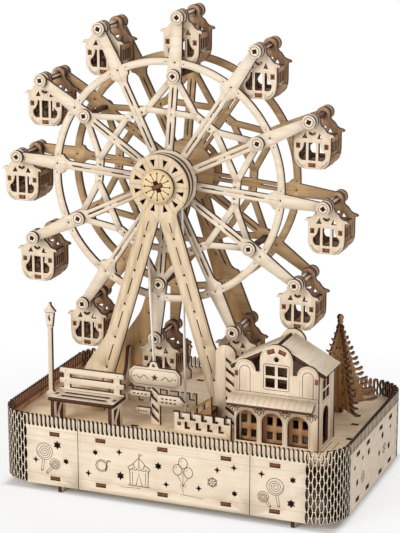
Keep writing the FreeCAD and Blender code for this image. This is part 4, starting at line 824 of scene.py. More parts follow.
def wheel_face(name, side, finishes):
    """A hub plate, arms, ring and star in one plane; side is -1 in front, 1 behind."""
    low = WHEEL_Y + (ARM if side > 0 else -ARM - SHEET)
    shown = low if side < 0 else low + SHEET
    cut = Cut(name + "_wheel_sheet")
    hub_edge = []
    for k in range(ARMS):
        hub_edge.append(on_wheel([(HUB_R, -HALF), (HUB_R, HALF)], k * ARM_STEP))
        hub_edge.append(on_wheel(arc(0, 0, HUB_R + 0.6, 11, 19, 3), k * ARM_STEP))
    cut.sheet([np.vstack(hub_edge), on_wheel(cross_loop(0.1))], FRONT, low)
    for k in range(ARMS):
        cut.sheet(arm_loops(k), FRONT, low)
        cut.sheet([on_wheel(p, k * ARM_STEP) for p in ring_loops()], FRONT, low)
        for start, stop, width in PLAIN_SEAMS if k % 2 else ():
            cut.line(on_wheel([(start, 0), (stop, 0)], k * ARM_STEP), width, FRONT, shown, side,
                     slot=FINE)
    for k in range(STARS):
        for sign in (1, -1):
            chord, bridge, strut = (np.array(bar) * (1, sign) for bar in star_bars())
            notch = capsule(*turn([(NOTCH, 0)], NOTCH_A)[0] * (1, sign), 2.4, 1.1, NOTCH_A * sign)
            dot = disc(*turn([(BAR_DOT, 0)], BAR_DOT_A)[0] * (1, sign), 0.5, 8)
            for loops in ([chord], [bridge, notch], [strut]):
                cut.sheet([on_wheel(p, k * STAR_STEP) for p in loops], FRONT, low)
            cut.patch([on_wheel(dot, k * STAR_STEP)], FRONT, shown, side, CHARRED_AND_SHADE)
    nodes = [name + part for part in ("_arms", "_ring", "_star", "_hub_plate")]
    cut.make("wheel", nodes, "wheel_plywood", finishes)


# The rear face and its caps take the darker tan: painted shade.
FACES = (("front", -1, PLY), ("rear", 1, REAR))
for name, side, finishes in FACES:
    wheel_face(name, side, finishes)

# %% [markdown]
# ## Pins, caps and washers
# A square pin through every arm's end carries a cabin. Its end shows dark, on its point,
# in a small disc with an engraved ring. Plain discs of the same size lie between the arms
# and the cabins; they are this scene's own, because the construction leaves them out.

# %% Caps and washers
CAP_R, CAP_LINE_R, CAP_PLAY = 5.25, 3.6, 0.12
PIN_SPOTS = [(TIP, ARM_STEP * k) for k in range(ARMS)]
STAR_SPOTS = [(STAR_R, STAR_STEP * k) for k in range(STARS)]
for name, side, finishes in FACES:
    low = WHEEL_Y + (CAP if side > 0 else -CAP - SHEET)
    shown = low if side < 0 else low + SHEET
    caps = Cut(name + "_pin_caps")
    for radius, degrees in PIN_SPOTS + STAR_SPOTS:
        caps.sheet([on_wheel(disc(radius, 0, CAP_R, 32), degrees),
                    pin_hole(radius, degrees, CAP_PLAY)], FRONT, low)
        caps.line(on_wheel(disc(radius, 0, CAP_LINE_R, 24), degrees), 0.4, FRONT, shown, side, True)
    caps.make("wheel", [name + "_caps"], "wheel_plywood", finishes)

washers = Cut("pin_washers")
for radius, degrees in PIN_SPOTS:
    for low in (WHEEL_Y - WASHER - SHEET, WHEEL_Y + WASHER):
        washers.sheet([on_wheel(disc(radius, 0, CAP_R, 28), degrees),
                       pin_hole(radius, degrees, CAP_PLAY)], FRONT, low, SHEET - 0.02)
washers.make("wheel", [], "wheel_plywood")

# %% [markdown]
# A pin is square only at its ends. Between the cabin's plates it is a wide flat bar of the
# same sheet, whose two long sides are burnt and whose faces are bare.

# %% Pins
PIN_END, FLAT_BAR, BAR_THIN = WHEEL_Y - 22.5, 5.4, 2.9
TWO_SIDES_BURNT = np.array([FACE, BURNT, FACE, BURNT])
pins = Cut("square_pins")
for radius, degrees in PIN_SPOTS:
    bar = rect(-FLAT_BAR / 2, -BAR_THIN / 2, FLAT_BAR / 2, BAR_THIN / 2)
    pins.sheet([pin_hole(radius, degrees, -0.02)], FRONT, PIN_END, 2 * (WHEEL_Y - PIN_END), CHARRED_AND_SHADE)
    pins.sheet([on_wheel(move(bar, radius, 0), degrees)], FRONT, WHEEL_Y - 10.5, 21.0, BURNT,
               TWO_SIDES_BURNT)
pins.make("wheel", ["cabin_pins"], "wheel_plywood")

star_pins = Cut("star_pin_bars")
for radius, degrees in STAR_SPOTS:
    bar = turn(rect(-2.5, -SHEET / 2, 2.5, SHEET / 2), 45)
    star_pins.sheet([on_wheel(move(bar, radius, 0), degrees)], FRONT, WHEEL_Y - ARM, 2 * ARM)
    for low in (PIN_END, WHEEL_Y + ARM):
        star_pins.sheet([pin_hole(radius, degrees, -0.02)], FRONT, low, 5.5, CHARRED_AND_SHADE)
star_pins.make("wheel", ["star_pins"], "wheel_plywood")

# %% [markdown]
# ## The hub
# Two big discs with a smaller one between them make the belt's groove, and small discs
# keep the wheel off the stand. Outside the stand sits a golden disc with twelve fine lines
# round a cross-shaped hole, where the end of the axle's flat bar shows.

# %% Pulley and spacers
CHEEK_R, GROOVE_R, SPACER_R = 23.0, 14.1, 10.0
pulley = Cut("hub_pulley_discs")
# Painted shade: the outer cheek's front face takes the charred finish, near black, since it is seen
# only through the stand's triangles, where shade lies.
for radius, offset, near in ((CHEEK_R, OUTER, CHARRED_AND_SHADE), (GROOVE_R, CORE, FACE),
                             (CHEEK_R, FLANGE, FACE), (SPACER_R, CAP, FACE)):
    pulley.sheet([move(disc(0, 0, radius, 72), *HUB), on_wheel(cross_loop(0.1))], FRONT,
                 WHEEL_Y - offset - SHEET, face=(near, FACE))
for k in range(4):
    pulley.sheet([move(disc(0, 0, SPACER_R, 48), *HUB), on_wheel(cross_loop(0.1))], FRONT,
                 WHEEL_Y + CAP + k * SHEET, SHEET - 0.01)
pulley.make("wheel", ["hub_pulley"], "wheel_plywood")

# %% End discs and the axle of crossed bars
END_R, RAY_TURN = 13.0, 5
ends = Cut("hub_end_discs")
for low, side in ((WHEEL_Y - DISC - SHEET, -1), (WHEEL_Y + DISC, 1)):
    ends.sheet([move(disc(0, 0, END_R, 64), *HUB), on_wheel(cross_loop(0.45))], FRONT, low)
    shown = low if side < 0 else low + SHEET
    for k in range(ARMS):
        angle = k * ARM_STEP + RAY_TURN
        ends.line(on_wheel([(4.9, 0), (10.0, 0)], angle), 0.6, FRONT, shown, side)
        ends.patch([on_wheel(disc(10.2, 0, 0.75, 10), angle)], FRONT, shown, side)
    ends.line(move(disc(0, 0, END_R - 0.6, 48), *HUB), 0.25, FRONT, shown, side, True, slot=FINE)
ends.make("wheel", ["hub_discs"], "wheel_plywood", GOLD)

BAR_HALF, AXLE_END = 4.2, DISC + SHEET
axle = Cut("axle_bars")
axle.sheet([on_wheel(rect(-BAR_HALF, -BAR_THIN / 2, BAR_HALF, BAR_THIN / 2))], FRONT,
           WHEEL_Y - AXLE_END + 0.05, 2 * AXLE_END - 0.1, TAB_END)
for y0, y1 in ((SHEET / 2, BAR_HALF), (-BAR_HALF, -SHEET / 2)):
    axle.sheet([on_wheel(rect(-BAR_THIN / 2, y0, BAR_THIN / 2, y1))], FRONT,
               WHEEL_Y - AXLE_END + 0.6, 2 * AXLE_END - 1.2, CHARRED_AND_SHADE)
axle.make("wheel", ["hub_axle"], "wheel_plywood")

# %% [markdown]
# ## The cabins
# Twelve equal cabins hang from the pins. An end plate has a round ear for the pin, two
# eaves that hook upwards, three windows and three small piercings under the ear. Half its
# outline is listed point by point from the pin's middle, and the mirror gives the other half.

# %% The end plate's drawing
PANEL_X, PANEL_Z = 10.85, -19.35
cabin_side = [(7.0, -36.4), (9.6, -35.4), (11.3, -33.8), (12.9, -31.6), (13.8, -28.6),
              (14.1, -25.0), (14.1, -13.6), (14.5, -11.9), (16.2, -12.4), (17.0, -11.6),
              (15.6, -10.2), (13.9, -9.9), (12.4, -9.4), (10.9, -8.4), (9.6, -6.5),
              (8.6, -5.2), (6.6, -3.9), (5.7, -2.2)]
ear = arc(0, 0, 5.45, -12, 84, 8)
cabin_half = np.vstack([np.array(cabin_side), ear])
cabin_loop = np.vstack([cabin_half, flip(cabin_half)])
side_window = np.array([(4.75, -16.8), (6.2, -16.8), (6.6, -19.5), (7.4, -21.6), (8.6, -23.2),
                        (10.1, -24.6), (10.3, -26.6), (9.7, -28.6), (8.7, -29.8), (7.6, -30.1),
                        (4.75, -30.1)])
crescent = np.vstack([arc(0, -8.3, 3.1, 200, 340, 10), arc(0, -7.6, 1.9, 340, 200, 8)])
piercing = np.array([(3.6, -13.7), (8.0, -13.7), (5.4, -9.5)])
cabin_cuts = [disc(0, 0, 2.25, 16), rect(-2.83, -30.1, 2.83, -16.8), side_window,
              flip(side_window), crescent, rect(-2.8, -35.2, 2.8, -32.0)]
for sign in (1, -1):
    cabin_cuts.append(piercing * (sign, 1))
    cabin_cuts.append(move(rect(-1.65, -1.95, 1.65, 1.95), sign * PANEL_X, PANEL_Z))
print("an end plate is", float(np.ptp(cabin_loop[:, 0])), "mm wide, with", len(cabin_cuts), "holes")

# %% [markdown]
# Between the end plates lie two slatted sides, two slanting boards below them and a floor.
# The ends of their tabs show in the end plates, each a little behind the face.

# %% One cabin, twelve times
SIDE_SLATS, SLAT_STEP, SLAT_GAP = 5, 3.62, 2.3
TAB_BACK = 0.15


def end_plate(cut, x, z, low, side):
    """One end plate with its engraved curves and the ends of three tabs."""
    shown = WHEEL_Y + (low if side < 0 else low + SHEET)
    faces = (FACE, INSIDE) if side < 0 else (INSIDE, FACE)
    tab = (FRONT, WHEEL_Y + low + TAB_BACK, SHEET - 2 * TAB_BACK, TAB_END)
    cut.sheet([move(p, x, z) for p in [cabin_loop] + cabin_cuts], FRONT, WHEEL_Y + low, face=faces)
    for sign in (1, -1):
        curve = arc(sign * 4.5, -27.6, 7.4, 270 + sign * 20, 270 + sign * 70, 7)
        cut.line(move(curve, x, z), 0.35, FRONT, shown, side)
        panel = (x + sign * PANEL_X, z + PANEL_Z)
        cut.sheet([move(rect(-1.5, -1.8, 1.5, 1.8), *panel)], *tab)
        cut.patch([move(rect(-0.6, -0.8, 0.6, 0.8), *panel)], FRONT, shown - side * TAB_BACK,
                  side, BURNT)
    cut.sheet([move(rect(-2.65, -35.05, 2.65, -32.15), x, z)], *tab)


def cabin(name, x, z):
    """Both end plates, and between them sides, slanting boards and floor, hung at (x, z)."""
    cut = Cut(name + "_body")
    end_plate(cut, x, z, -PLATE_OUT, -1)
    end_plate(cut, x, z, PLATE_IN, 1)
    # The plates' inner faces and all pieces between them take the inner finish: painted shade.
    y0, y1 = WHEEL_Y - PLATE_IN, WHEEL_Y + PLATE_IN
    wall = rect(y0, z - 27.0, y1, z - 13.6)
    gaps = [rect(y, z - 25.4, y + SLAT_GAP, z - 17.4)
            for y in y0 + 2.2 + SLAT_STEP * np.arange(SIDE_SLATS)]
    for sign in (1, -1):
        cut.sheet([wall] + gaps, SIDE, x + sign * PANEL_X - SHEET / 2, face=INSIDE)
        top, low = np.array([(sign * 12.35, -27.2), (sign * 6.3, -34.9)])
        along = low - top
        normal = np.array([-along[1], along[0]]) / np.linalg.norm(along) * SHEET * sign
        board = np.array([top, low, low + normal, top + normal])
        cut.sheet([move(board, x, z)], FRONT, y0, y1 - y0, INSIDE, INSIDE)
    cut.sheet([rect(x - 5.6, y0, x + 5.6, y1)], FLAT, z - 35.1, face=INSIDE)
    cut.make(name, [name], "cabin_plywood", CABIN)


for k in range(ARMS):
    a = math.radians(FIRST + ARM_STEP * k)
    cabin("cabin_%02d" % (k + 1), HUB[0] + TIP * math.cos(a), HUB[1] + TIP * math.sin(a))

# %% [markdown]
# ## The stand
# Two frames, each a round head on two legs that flare into feet. The outline is one line
# from a foot to the head and its mirror: the leg's edges are straight lines at 16.8 degrees,
# and a fillet joins them to the head's circle. The fillet's middle is as far from the hub
# as head and fillet together, which gives it without any measuring.

# %% The stand's outline
LEG_LEAN, LEG_HALF, HEAD_R, FILLET = math.radians(16.8), 7.2, 24.0, 6.0
FOOT_OUT, FLARE_TOP = 71.0, 63.0
DROP = HUB[1] - DECK_TOP
down = (math.sin(LEG_LEAN), -math.cos(LEG_LEAN))


def on_leg(along, off):
    """A point so far down a leg's middle line, and so far off it, from the hub."""
    return (along * down[0] - off * down[1], along * down[1] + off * down[0])


def stand_loop():
    """Head, fillets to the legs, flared feet and their tenons."""
    mid = on_leg(math.sqrt((HEAD_R + FILLET) ** 2 - (LEG_HALF + FILLET) ** 2), LEG_HALF + FILLET)
    on_head = np.array(mid) * HEAD_R / (HEAD_R + FILLET)
    on_edge = on_leg(math.sqrt((HEAD_R + FILLET) ** 2 - (LEG_HALF + FILLET) ** 2), LEG_HALF)
    t0 = math.degrees(math.atan2(on_edge[1] - mid[1], on_edge[0] - mid[0]))
    t1 = math.degrees(math.atan2(on_head[1] - mid[1], on_head[0] - mid[0]))
    t1 = t0 + (t1 - t0 + 180) % 360 - 180
    flare = meet(on_edge, down, (0, FLARE_TOP - DROP), (1, 0))
    inner = meet(on_leg(0, -LEG_HALF), down, (0, -DROP), (1, 0))
    apex = meet(on_leg(0, -LEG_HALF), down, (0, 0), (0, 1))
    centre = (FOOT_OUT + inner[0]) / 2
    tenon = [(centre - 6, -DROP), (centre - 6, -DROP - SHEET), (centre + 6, -DROP - SHEET),
             (centre + 6, -DROP)]
    side = [inner] + tenon + [(FOOT_OUT, -DROP), (FOOT_OUT - 7, 34 - DROP, 40),
                              tuple(flare) + (40,), on_edge]
    right = smooth(side, close=False, step=5)
    right = np.vstack([right[:-1], arc(mid[0], mid[1], FILLET, t0, t1, 8)])
    a1 = math.degrees(math.atan2(on_head[1], on_head[0]))
    head = arc(0, 0, HEAD_R, a1, 180 - a1, 64)[1:-1]
    crotch = smooth([(-inner[0], inner[1]), (apex[0], apex[1], 1.2), inner], close=False)[1:-1]
    return np.vstack([right, head, flip(right), crotch])


outline = stand_loop()
print("the stand is", round(float(np.ptp(outline[:, 0])), 1), "mm wide at its feet")

# %% [markdown]
# Twelve triangles are sawn round the head, with engraved lines between them, and down each
# leg runs a row of long dashes and dots. The same list of distances serves all four legs.

# %% Both frames and the brace
LEG_DOTS = (41.6, 70.3, 99.0, 127.7, 154.0)
LEG_DASHES = ((29, 37), (48, 62), (76.7, 90.7), (105.4, 119.4), (134.1, 148.1), (160, 170))
TRIANGLE = [(14.2, 0), (20.3, -2.0), (20.3, 2.0)]
stand_holes = [disc(0, 0, 4.6, 24)]
stand_holes += [turn(TRIANGLE, ARM_STEP * (k + 0.5)) for k in range(ARMS)]
# The inner faces of both frames take the inner finish: painted shade.
for name, low, side, faces in (("front", WHEEL_Y - STAND - SHEET, -1, (FACE, INSIDE)),
                               ("rear", WHEEL_Y + STAND, 1, (INSIDE, FACE))):
    cut = Cut(name + "_stand_frame")
    dots = [disc(sign * s * down[0], s * down[1], 1.0, 12) for sign in (1, -1) for s in LEG_DOTS]
    cut.sheet([move(p, *HUB) for p in [outline] + stand_holes + dots], FRONT, low, face=faces)
    shown = low if side < 0 else low + SHEET
    for k in range(ARMS):
        ray = turn([(13.6, 0), (HEAD_R - 0.3, 0)], ARM_STEP * k)
        cut.line(move(ray, *HUB), 0.35, FRONT, shown, side, slot=FINE)
    for sign in (1, -1):
        for ends in LEG_DASHES:
            dash = np.array([on_leg(s, 0) for s in ends]) * (sign, 1)
            cut.line(move(dash, *HUB), 0.85, FRONT, shown, side)
        rim = np.array([on_leg(s, LEG_HALF - 1.1) for s in (34.0, 120.0)]) * (sign, 1)
        cut.line(move(rim, *HUB), 0.25, FRONT, shown, side, slot=FINE)
    cut.make(BASE, [name + "_stand"], "base_plywood", STAND_PLY)

BRACE_X = -80.0
brace = Cut("leg_brace_sheet")
y0, y1 = WHEEL_Y - STAND, WHEEL_Y + STAND
profile = smooth([(y0, 0), (y1, 0), (y1, 33), (y1 - 4.5, 33, 2), (y1 - 10, 10.6, 9),
                  (y0 + 6, 9.2, 6), (y0, 9.2)])
brace.sheet([move(profile, 0, DECK_TOP)], SIDE, MID[0] + BRACE_X - SHEET / 2)
brace.make(BASE, ["leg_brace"])

# %% [markdown]
# ## The box: comb, panels and bent corners
# The walls end in a comb of round-topped pickets, cut so that every gap has a toe at its
# foot, and each picket has an engraved line round it. An array modifier would repeat a
# gap, but it can't put it into a wall's outline, so the gap is a run of points here, and
# the same run serves the flat panels and, bent later, the round ends.

# %% The comb
PITCH, PICKETS, SEAM = 3.6, 38, 68.75
TAB_HALF, TAB_X, TAB_PLAY = 3.9, 50.3, 0.25
FLOOR_Z, DECK_Z = 10.4, 46.2
GAP_SIDE = np.array([
    (1.4, 0.0), (1.1, -0.3), (0.84, -0.9), (0.7, -1.7), (0.66, -3.2), (0.7, -5.0), (1.05, -6.4),
    (1.4, -7.3), (1.35, -8.2), (0.8, -8.75), (-0.15, -8.7), (-0.66, -8.0), (-0.7, -6.6),
    (-0.66, -4.5), (-0.7, -1.7), (-0.84, -0.9), (-1.1, -0.3), (-1.4, 0.0)])


def at_mid(points, z=0.0):
    """A drawing whose x is measured from the middle of the box."""
    return move(points, MID[0], z)


def comb_slot(x, way=1):
    """The gap between two pickets, from its right shoulder to its left one: 1.4 mm wide,
    rounded out at the top, with a toe at its foot that points way."""
    return (GAP_SIDE if way > 0 else flip(GAP_SIDE)) + (x, TOP)


def picket_line(cut, x, place, way=1, **more):
    """The engraved outline on a picket: two half circles and the lines between them."""
    loop = np.vstack([arc(0.0, -2.1, 0.62, 0, 180, 6), arc(0.3, -6.1, 0.42, 180, 360, 6)])
    loop = (loop if way > 0 else flip(loop)) + (x, TOP)
    cut.patch(stroke(loop, 0.2, True), *place, slot=FINE, **more)


def tab_hole(x, z):
    """The slot for a floor's tab, with a little play all round."""
    return rect(x - TAB_HALF - TAB_PLAY, z - TAB_PLAY, x + TAB_HALF + TAB_PLAY, z + SHEET + TAB_PLAY)


gaps = [((PICKETS - 1) / 2 - k) * PITCH for k in range(PICKETS)]
pickets = [x - PITCH / 2 for x in gaps] + [gaps[0] + PITCH / 2]
panel_edge = np.vstack([[(-SEAM, LOW), (SEAM, LOW), (SEAM, TOP)]] + [comb_slot(x) for x in gaps]
                       + [[(-SEAM, TOP)]])
tabs = [tab_hole(x, z) for x in (-TAB_X, 0.0, TAB_X) for z in (FLOOR_Z, DECK_Z)]
print("pickets along a panel", len(pickets), "in", PITCH, "mm steps")

# %% [markdown]
# The panels are engraved with common fairground things. Each drawing is a few lines, kept
# as (points, width, closed), so that one loop can engrave them all on any wall.

# %% Flakes and sweets
def flake(x, z, size, width=0.5):
    """A six-armed flake: six strokes from the middle, and two barbs on each."""
    lines = []
    for k in range(6):
        arm = [np.array([(0.5, 0.0), (size, 0.0)])]
        arm += [np.array([(size * 0.5, 0.0), (size * 0.78, s * size * 0.26)]) for s in (1, -1)]
        lines += [(move(turn(part, 60 * k + 30), x, z), width, False) for part in arm]
    return lines


def swirl(x, z, radius, turns=3.0):
    """A sweet's spiral: the radius grows evenly with the angle, from 0.6 mm."""
    a = np.linspace(0, turns * 2 * math.pi, int(turns * 20))
    r = 0.6 + (radius - 0.6) * a / a[-1]
    return np.column_stack([x + r * np.cos(a), z + r * np.sin(a)])


def sweet(x, z, radius, foot):
    """A round sweet on a stick: spiral, rim, and the stick's two sides and end."""
    way = np.array([foot[0] - x, foot[1] - z], float)
    way /= np.linalg.norm(way)
    side = np.array([-way[1], way[0]]) * 0.85
    start = np.array([x, z]) + way * (radius + 0.3)
    stick = np.array([start + side, np.array(foot) + side, np.array(foot) - side, start - side])
    return [(swirl(x, z, radius * 0.86), 0.42, False), (disc(x, z, radius, 28), 0.42, True),
            (stick, 0.36, False), (disc(*foot, 0.5, 8), 0.4, True)]


print("lines in a flake", len(flake(0, 0, 4.6)), "and in a sweet", len(sweet(0, 0, 5, (0, -9))))

# %% Wreath, tent and balloons
def wreath(x, z):
    """Twelve beads on a circle, and a twig that leaves it."""
    beads = [(disc(*turn([(4.3, 0)], 30 * k)[0] + (x, z), 0.85, 10), 0.4, True) for k in range(12)]
    twig = np.vstack([arc(x + 5.9, z + 3.2, 1.5, 20, 200, 8), [(x + 3.3, z - 4.0)]])
    return beads + [(twig, 0.8, False)]


def tent(x):
    """A striped tent: roof, walls, ground, door, a pennant, and five scallops."""
    lines = (((-9, 30), (-5, 33), (0, 38.5), (5, 33), (9, 30)), ((-7.6, 29), (-7.2, 15.8)),
             ((7.6, 29), (7.2, 15.8)), ((-9, 15.8), (9, 15.8)), ((-2.6, 15.8), (0, 26), (2.6, 15.8)),
             ((0, 38.5), (0, 41.4)), ((0, 41.4), (3.0, 40.6), (0, 39.8)), ((-4.4, 33), (-3.6, 29.6)),
             ((4.4, 33), (3.6, 29.6)), ((0, 38.3), (0, 29.6)))
    drawn = [(move(line, x, 0), 0.55, False) for line in lines]
    drawn += [(arc(x + 3.6 * k, 30, 1.8, 185, 355, 7), 0.45, False) for k in (-2, -1, 0, 1, 2)]
    return drawn + [(np.array([(x + s * 5.4, 27.0), (x + s * 5.184, 16.6)]), 0.4, False)
                    for s in (-1, 1)]


def balloons(spots, knot):
    """Ovals 7 by 8.4 mm with a glint, strings that bend towards a knot, and a bow."""
    drawn = []
    for x, z in spots:
        bend = (x * 0.4 + knot[0] * 0.6, z * 0.4 + knot[1] * 0.6 - 1.0)
        drawn += [(disc(0, 0, 1.0, 22) * (3.5, 4.2) + (x, z), 0.5, True),
                  (arc(x, z, 2.1, 100, 160, 5), 0.35, False),
                  (np.array([(x, z - 4.4), bend, knot]), 0.35, False)]
    drawn.append((np.array([knot, (knot[0] - 0.5, 18.0), (knot[0] + 0.5, 15.6)]), 0.35, False))
    bow = np.array([(0.3, 0), (2.2, 1.2), (2.2, -1.2)])
    return drawn + [(bow * (s, 1) + knot, 0.35, True) for s in (1, -1)]


print("lines in a tent", len(tent(0)))

# %% [markdown]
# The front panel carries these drawings, pierced stars of four and six points, and three
# fine lines along its length. Each star is (x, z, points, outer radius, inner radius).

# %% The front panel
PANEL_STARS = ((-54.6, 37.9, 6, 2.3, 1.6), (-35.0, 40.7, 4, 2.9, 1.1), (-60.5, 20.4, 4, 2.9, 1.1),
    (-34.1, 22.0, 6, 3.5, 2.0), (-3.4, 34.1, 6, 3.2, 1.9), (2.9, 20.4, 4, 2.8, 1.1),
    (28.9, 21.1, 4, 2.8, 1.1), (43.4, 37.7, 4, 2.8, 1.1), (56.6, 41.2, 4, 2.8, 1.1),
    (57.1, 21.1, 6, 2.4, 1.6))
LONG_LINES = (50.5, 44.9, 14.7)
panel_face = -HALF_Y + MID[1]
on_panel = (FRONT, panel_face, -1)
front = Cut("front_panel_sheet")
front.sheet([at_mid(p) for p in [panel_edge] + tabs + [star(*v) for v in PANEL_STARS]],
            FRONT, panel_face, deep=CHARRED_AND_SHADE)
for x in pickets:
    picket_line(front, x + MID[0], on_panel)
art = wreath(-49.5, 28.0) + flake(39.6, 27.5, 4.6)
art += [(disc(*turn([(3.1, 0)], 60 * k)[0] + (39.6, 27.5), 0.45, 8), 0.35, True) for k in range(6)]
art += tent(-19.0) + balloons(((12.0, 33.4), (20.6, 32.2), (16.4, 39.2)), (16.5, 21.0))
for points, width, closed in art:
    front.line(at_mid(points), width, *on_panel, closed)
s = np.linspace(0, 1, 30)
hill = np.column_stack([-34.0 + 67.0 * s, 13.3 + 1.3 * np.sin(s * math.pi)])
for part in (hill[:8], hill[21:]):
    front.line(at_mid(part), 0.3, *on_panel)
for z in LONG_LINES:
    front.line(at_mid([(-SEAM, z), (SEAM, z)]), 0.15, *on_panel, slot=FINE)
front.make(BASE, ["front_panel"])

# %% [markdown]
# The back panel is the same sheet without the drawings. The crank's shaft comes through
# it, under the middle of the wheel.

# %% The back panel
CRANK = (-4.084, 29.8)
back = Cut("back_panel_sheet")
back_face = HALF_Y + MID[1]
bore = disc(CRANK[0] - MID[0], CRANK[1], 3.3, 24)
back.sheet([at_mid(p) for p in [panel_edge] + tabs + [bore]], FRONT, back_face - SHEET, deep=CHARRED_AND_SHADE)
for x in pickets:
    picket_line(back, x + MID[0], (FRONT, back_face, 1))
back.make(BASE, ["back_panel"])

# %% [markdown]
# ## The two bent ends
# Plywood bends where it is slotted in staggered rows, a living hinge. A Simple Deform
# modifier could bend a flat wall, but it would stretch the slots and spoil the joints with
# the panels. So an end is drawn flat, as it lies on the sheet, and each point is carried
# round the box: the distance along the wall says where it is and which way the wall faces.

# %% Round the end
PANEL_HALF = 69.0
STRAIGHT = HALF_X - CORNER - PANEL_HALF
ARC_LONG = CORNER * math.pi / 2
END_LONG = 2 * (HALF_Y - CORNER)
TOTAL = 2 * STRAIGHT + 2 * ARC_LONG + END_LONG
END_MID = TOTAL / 2


def round_the_end(side):
    """Distance s along the wall to a place: straight, quarter circle, straight, quarter
    circle, straight. The inner face lies 3 mm inwards along the wall's normal."""
    def bend(flat, w):
        s, z = flat[:, 0], flat[:, 1]
        a1 = np.clip((s - STRAIGHT) / ARC_LONG, 0, 1) * math.pi / 2
        a2 = np.clip((s - STRAIGHT - ARC_LONG - END_LONG) / ARC_LONG, 0, 1) * math.pi / 2
        before = np.minimum(s, STRAIGHT)
        across = np.clip(s - STRAIGHT - ARC_LONG, 0, END_LONG)
        after = np.maximum(s - STRAIGHT - 2 * ARC_LONG - END_LONG, 0)
        r = CORNER - w
        x = PANEL_HALF + before - after + r * np.sin(a1 + a2)
        y = CORNER - HALF_Y + across - r * np.cos(a1 + a2)
        return np.column_stack([MID[0] + side * x, MID[1] + y, z])
    return bend


print("an end wall is", round(TOTAL, 1), "mm long when flat")

# %% [markdown]
# In the real corner the slots are so wide that only a net of wood is left: each slot is
# wide in its middle and narrow towards its ends, where the next column's slots start. Half
# its width is a smooth step of a cosine, so one formula gives waist, bulge and round end.

# %% The net's slots
COLUMNS, ROWS, ROW, SLOT_HALF = 15, 6, 9.2, 4.34
COLUMN = ARC_LONG / COLUMNS
NET_T = np.array([0, 0.3, 0.48, 0.56, 0.66, 0.9, 0.97, 1])


def net_side(t):
    """Half width of a slot of the net at t, from -1 at its foot to 1 at its head:
    1.03 + 0.26 tanh(2.4 cos(pi t)) mm, closed by a round end over the last eighth."""
    end = np.sqrt(np.clip(1 - (np.clip(np.abs(t) - 0.875, 0, 1) / 0.125) ** 2, 0, 1))
    return (1.03 + 0.26 * np.tanh(2.4 * np.cos(math.pi * t))) * end


def net_slot(s, z):
    """A whole slot of the net, up its right side and down its left one."""
    t = np.concatenate([-NET_T[:0:-1], NET_T[1:]])
    h, up = net_side(t), SLOT_HALF * t
    return np.vstack([np.column_stack([h, up]), np.column_stack([-h, up])[-2:0:-1]]) + (s, z)


def net_notch(s, z, way):
    """Half a slot, open at the wall's edge: way 1 goes up from z, and -1 down from it. It
    starts on the left for a foot and on the right for a head."""
    h, up = net_side(NET_T), SLOT_HALF * NET_T
    half = np.vstack([np.column_stack([-h, up]), np.column_stack([h, up])[-2::-1]])
    mouth = np.array([(-1.85, 0.0), (-1.4, 0.4)])
    return np.vstack([mouth, half[1:-1], flip(mouth)]) * (way, way) + (s, z)


print("a slot is", round(2 * float(net_side(0.0)), 2), "mm wide and", 2 * SLOT_HALF, "mm high")

# %% [markdown]
# The flat drawing of an end joins these: the comb along both straight parts and the short
# side, the net in the corners, and the slots for the tabs of both floors.

# %% An end, drawn flat
TEETH, SIDE_TEETH = STRAIGHT / 12, 35
FAR_TAB, SIDE_TABS = 88.3, (-42.8, -17.0, 17.0, 42.8)


def comb_places():
    """Where the gaps of the comb stand: twelve on each straight part, 35 on the short side."""
    teeth = [(k + 0.5) * TEETH for k in range(12)]
    teeth += [TOTAL - s for s in teeth]
    return teeth + [STRAIGHT + ARC_LONG + (k + 0.5) * END_LONG / SIDE_TEETH for k in range(SIDE_TEETH)]


def end_loops(way):
    """Outline, net and tab slots. Every second column of the net is shifted by half a row,
    so its first and last slots are open at the wall's edges."""
    columns = [(start + (k + 0.5) * COLUMN, k % 2) for k in range(COLUMNS)
               for start in (STRAIGHT, STRAIGHT + ARC_LONG + END_LONG)]
    open_ones = sorted(s for s, odd in columns if odd)
    tops = [(s, comb_slot(s, way)) for s in comb_places()]
    tops += [(s, net_notch(s, TOP, -1)) for s in open_ones]
    tops = [loop for s, loop in sorted(tops, key=lambda entry: -entry[0])]
    bottoms = [net_notch(s, LOW, 1) for s in open_ones]
    gap = PANEL_HALF - SEAM
    corners = [(TOTAL - gap, LOW), (TOTAL - gap, TOP)]
    loops = [np.vstack([[(gap, LOW)]] + bottoms + [corners] + tops + [[(gap, TOP)]])]
    for s, odd in columns:
        loops += [net_slot(s, LOW + row * ROW + (0 if odd else ROW / 2))
                  for row in range(1 if odd else 0, ROWS)]
    for z in (FLOOR_Z, DECK_Z):
        loops += [tab_hole(s, z) for s in (FAR_TAB - PANEL_HALF, TOTAL - FAR_TAB + PANEL_HALF)]
        loops += [tab_hole(END_MID + y, z) for y in SIDE_TABS]
    return loops


print("cuts in an end wall", len(end_loops(1)) - 1)

# %% [markdown]
# Pierced stars stand on the short side, (y, z, points, outer, inner), and on the straight
# parts, which also carry two round sweets, (s, z, radius, foot of the stick). The left and
# the right end have their own sets, and each set is mirrored to the end's back.

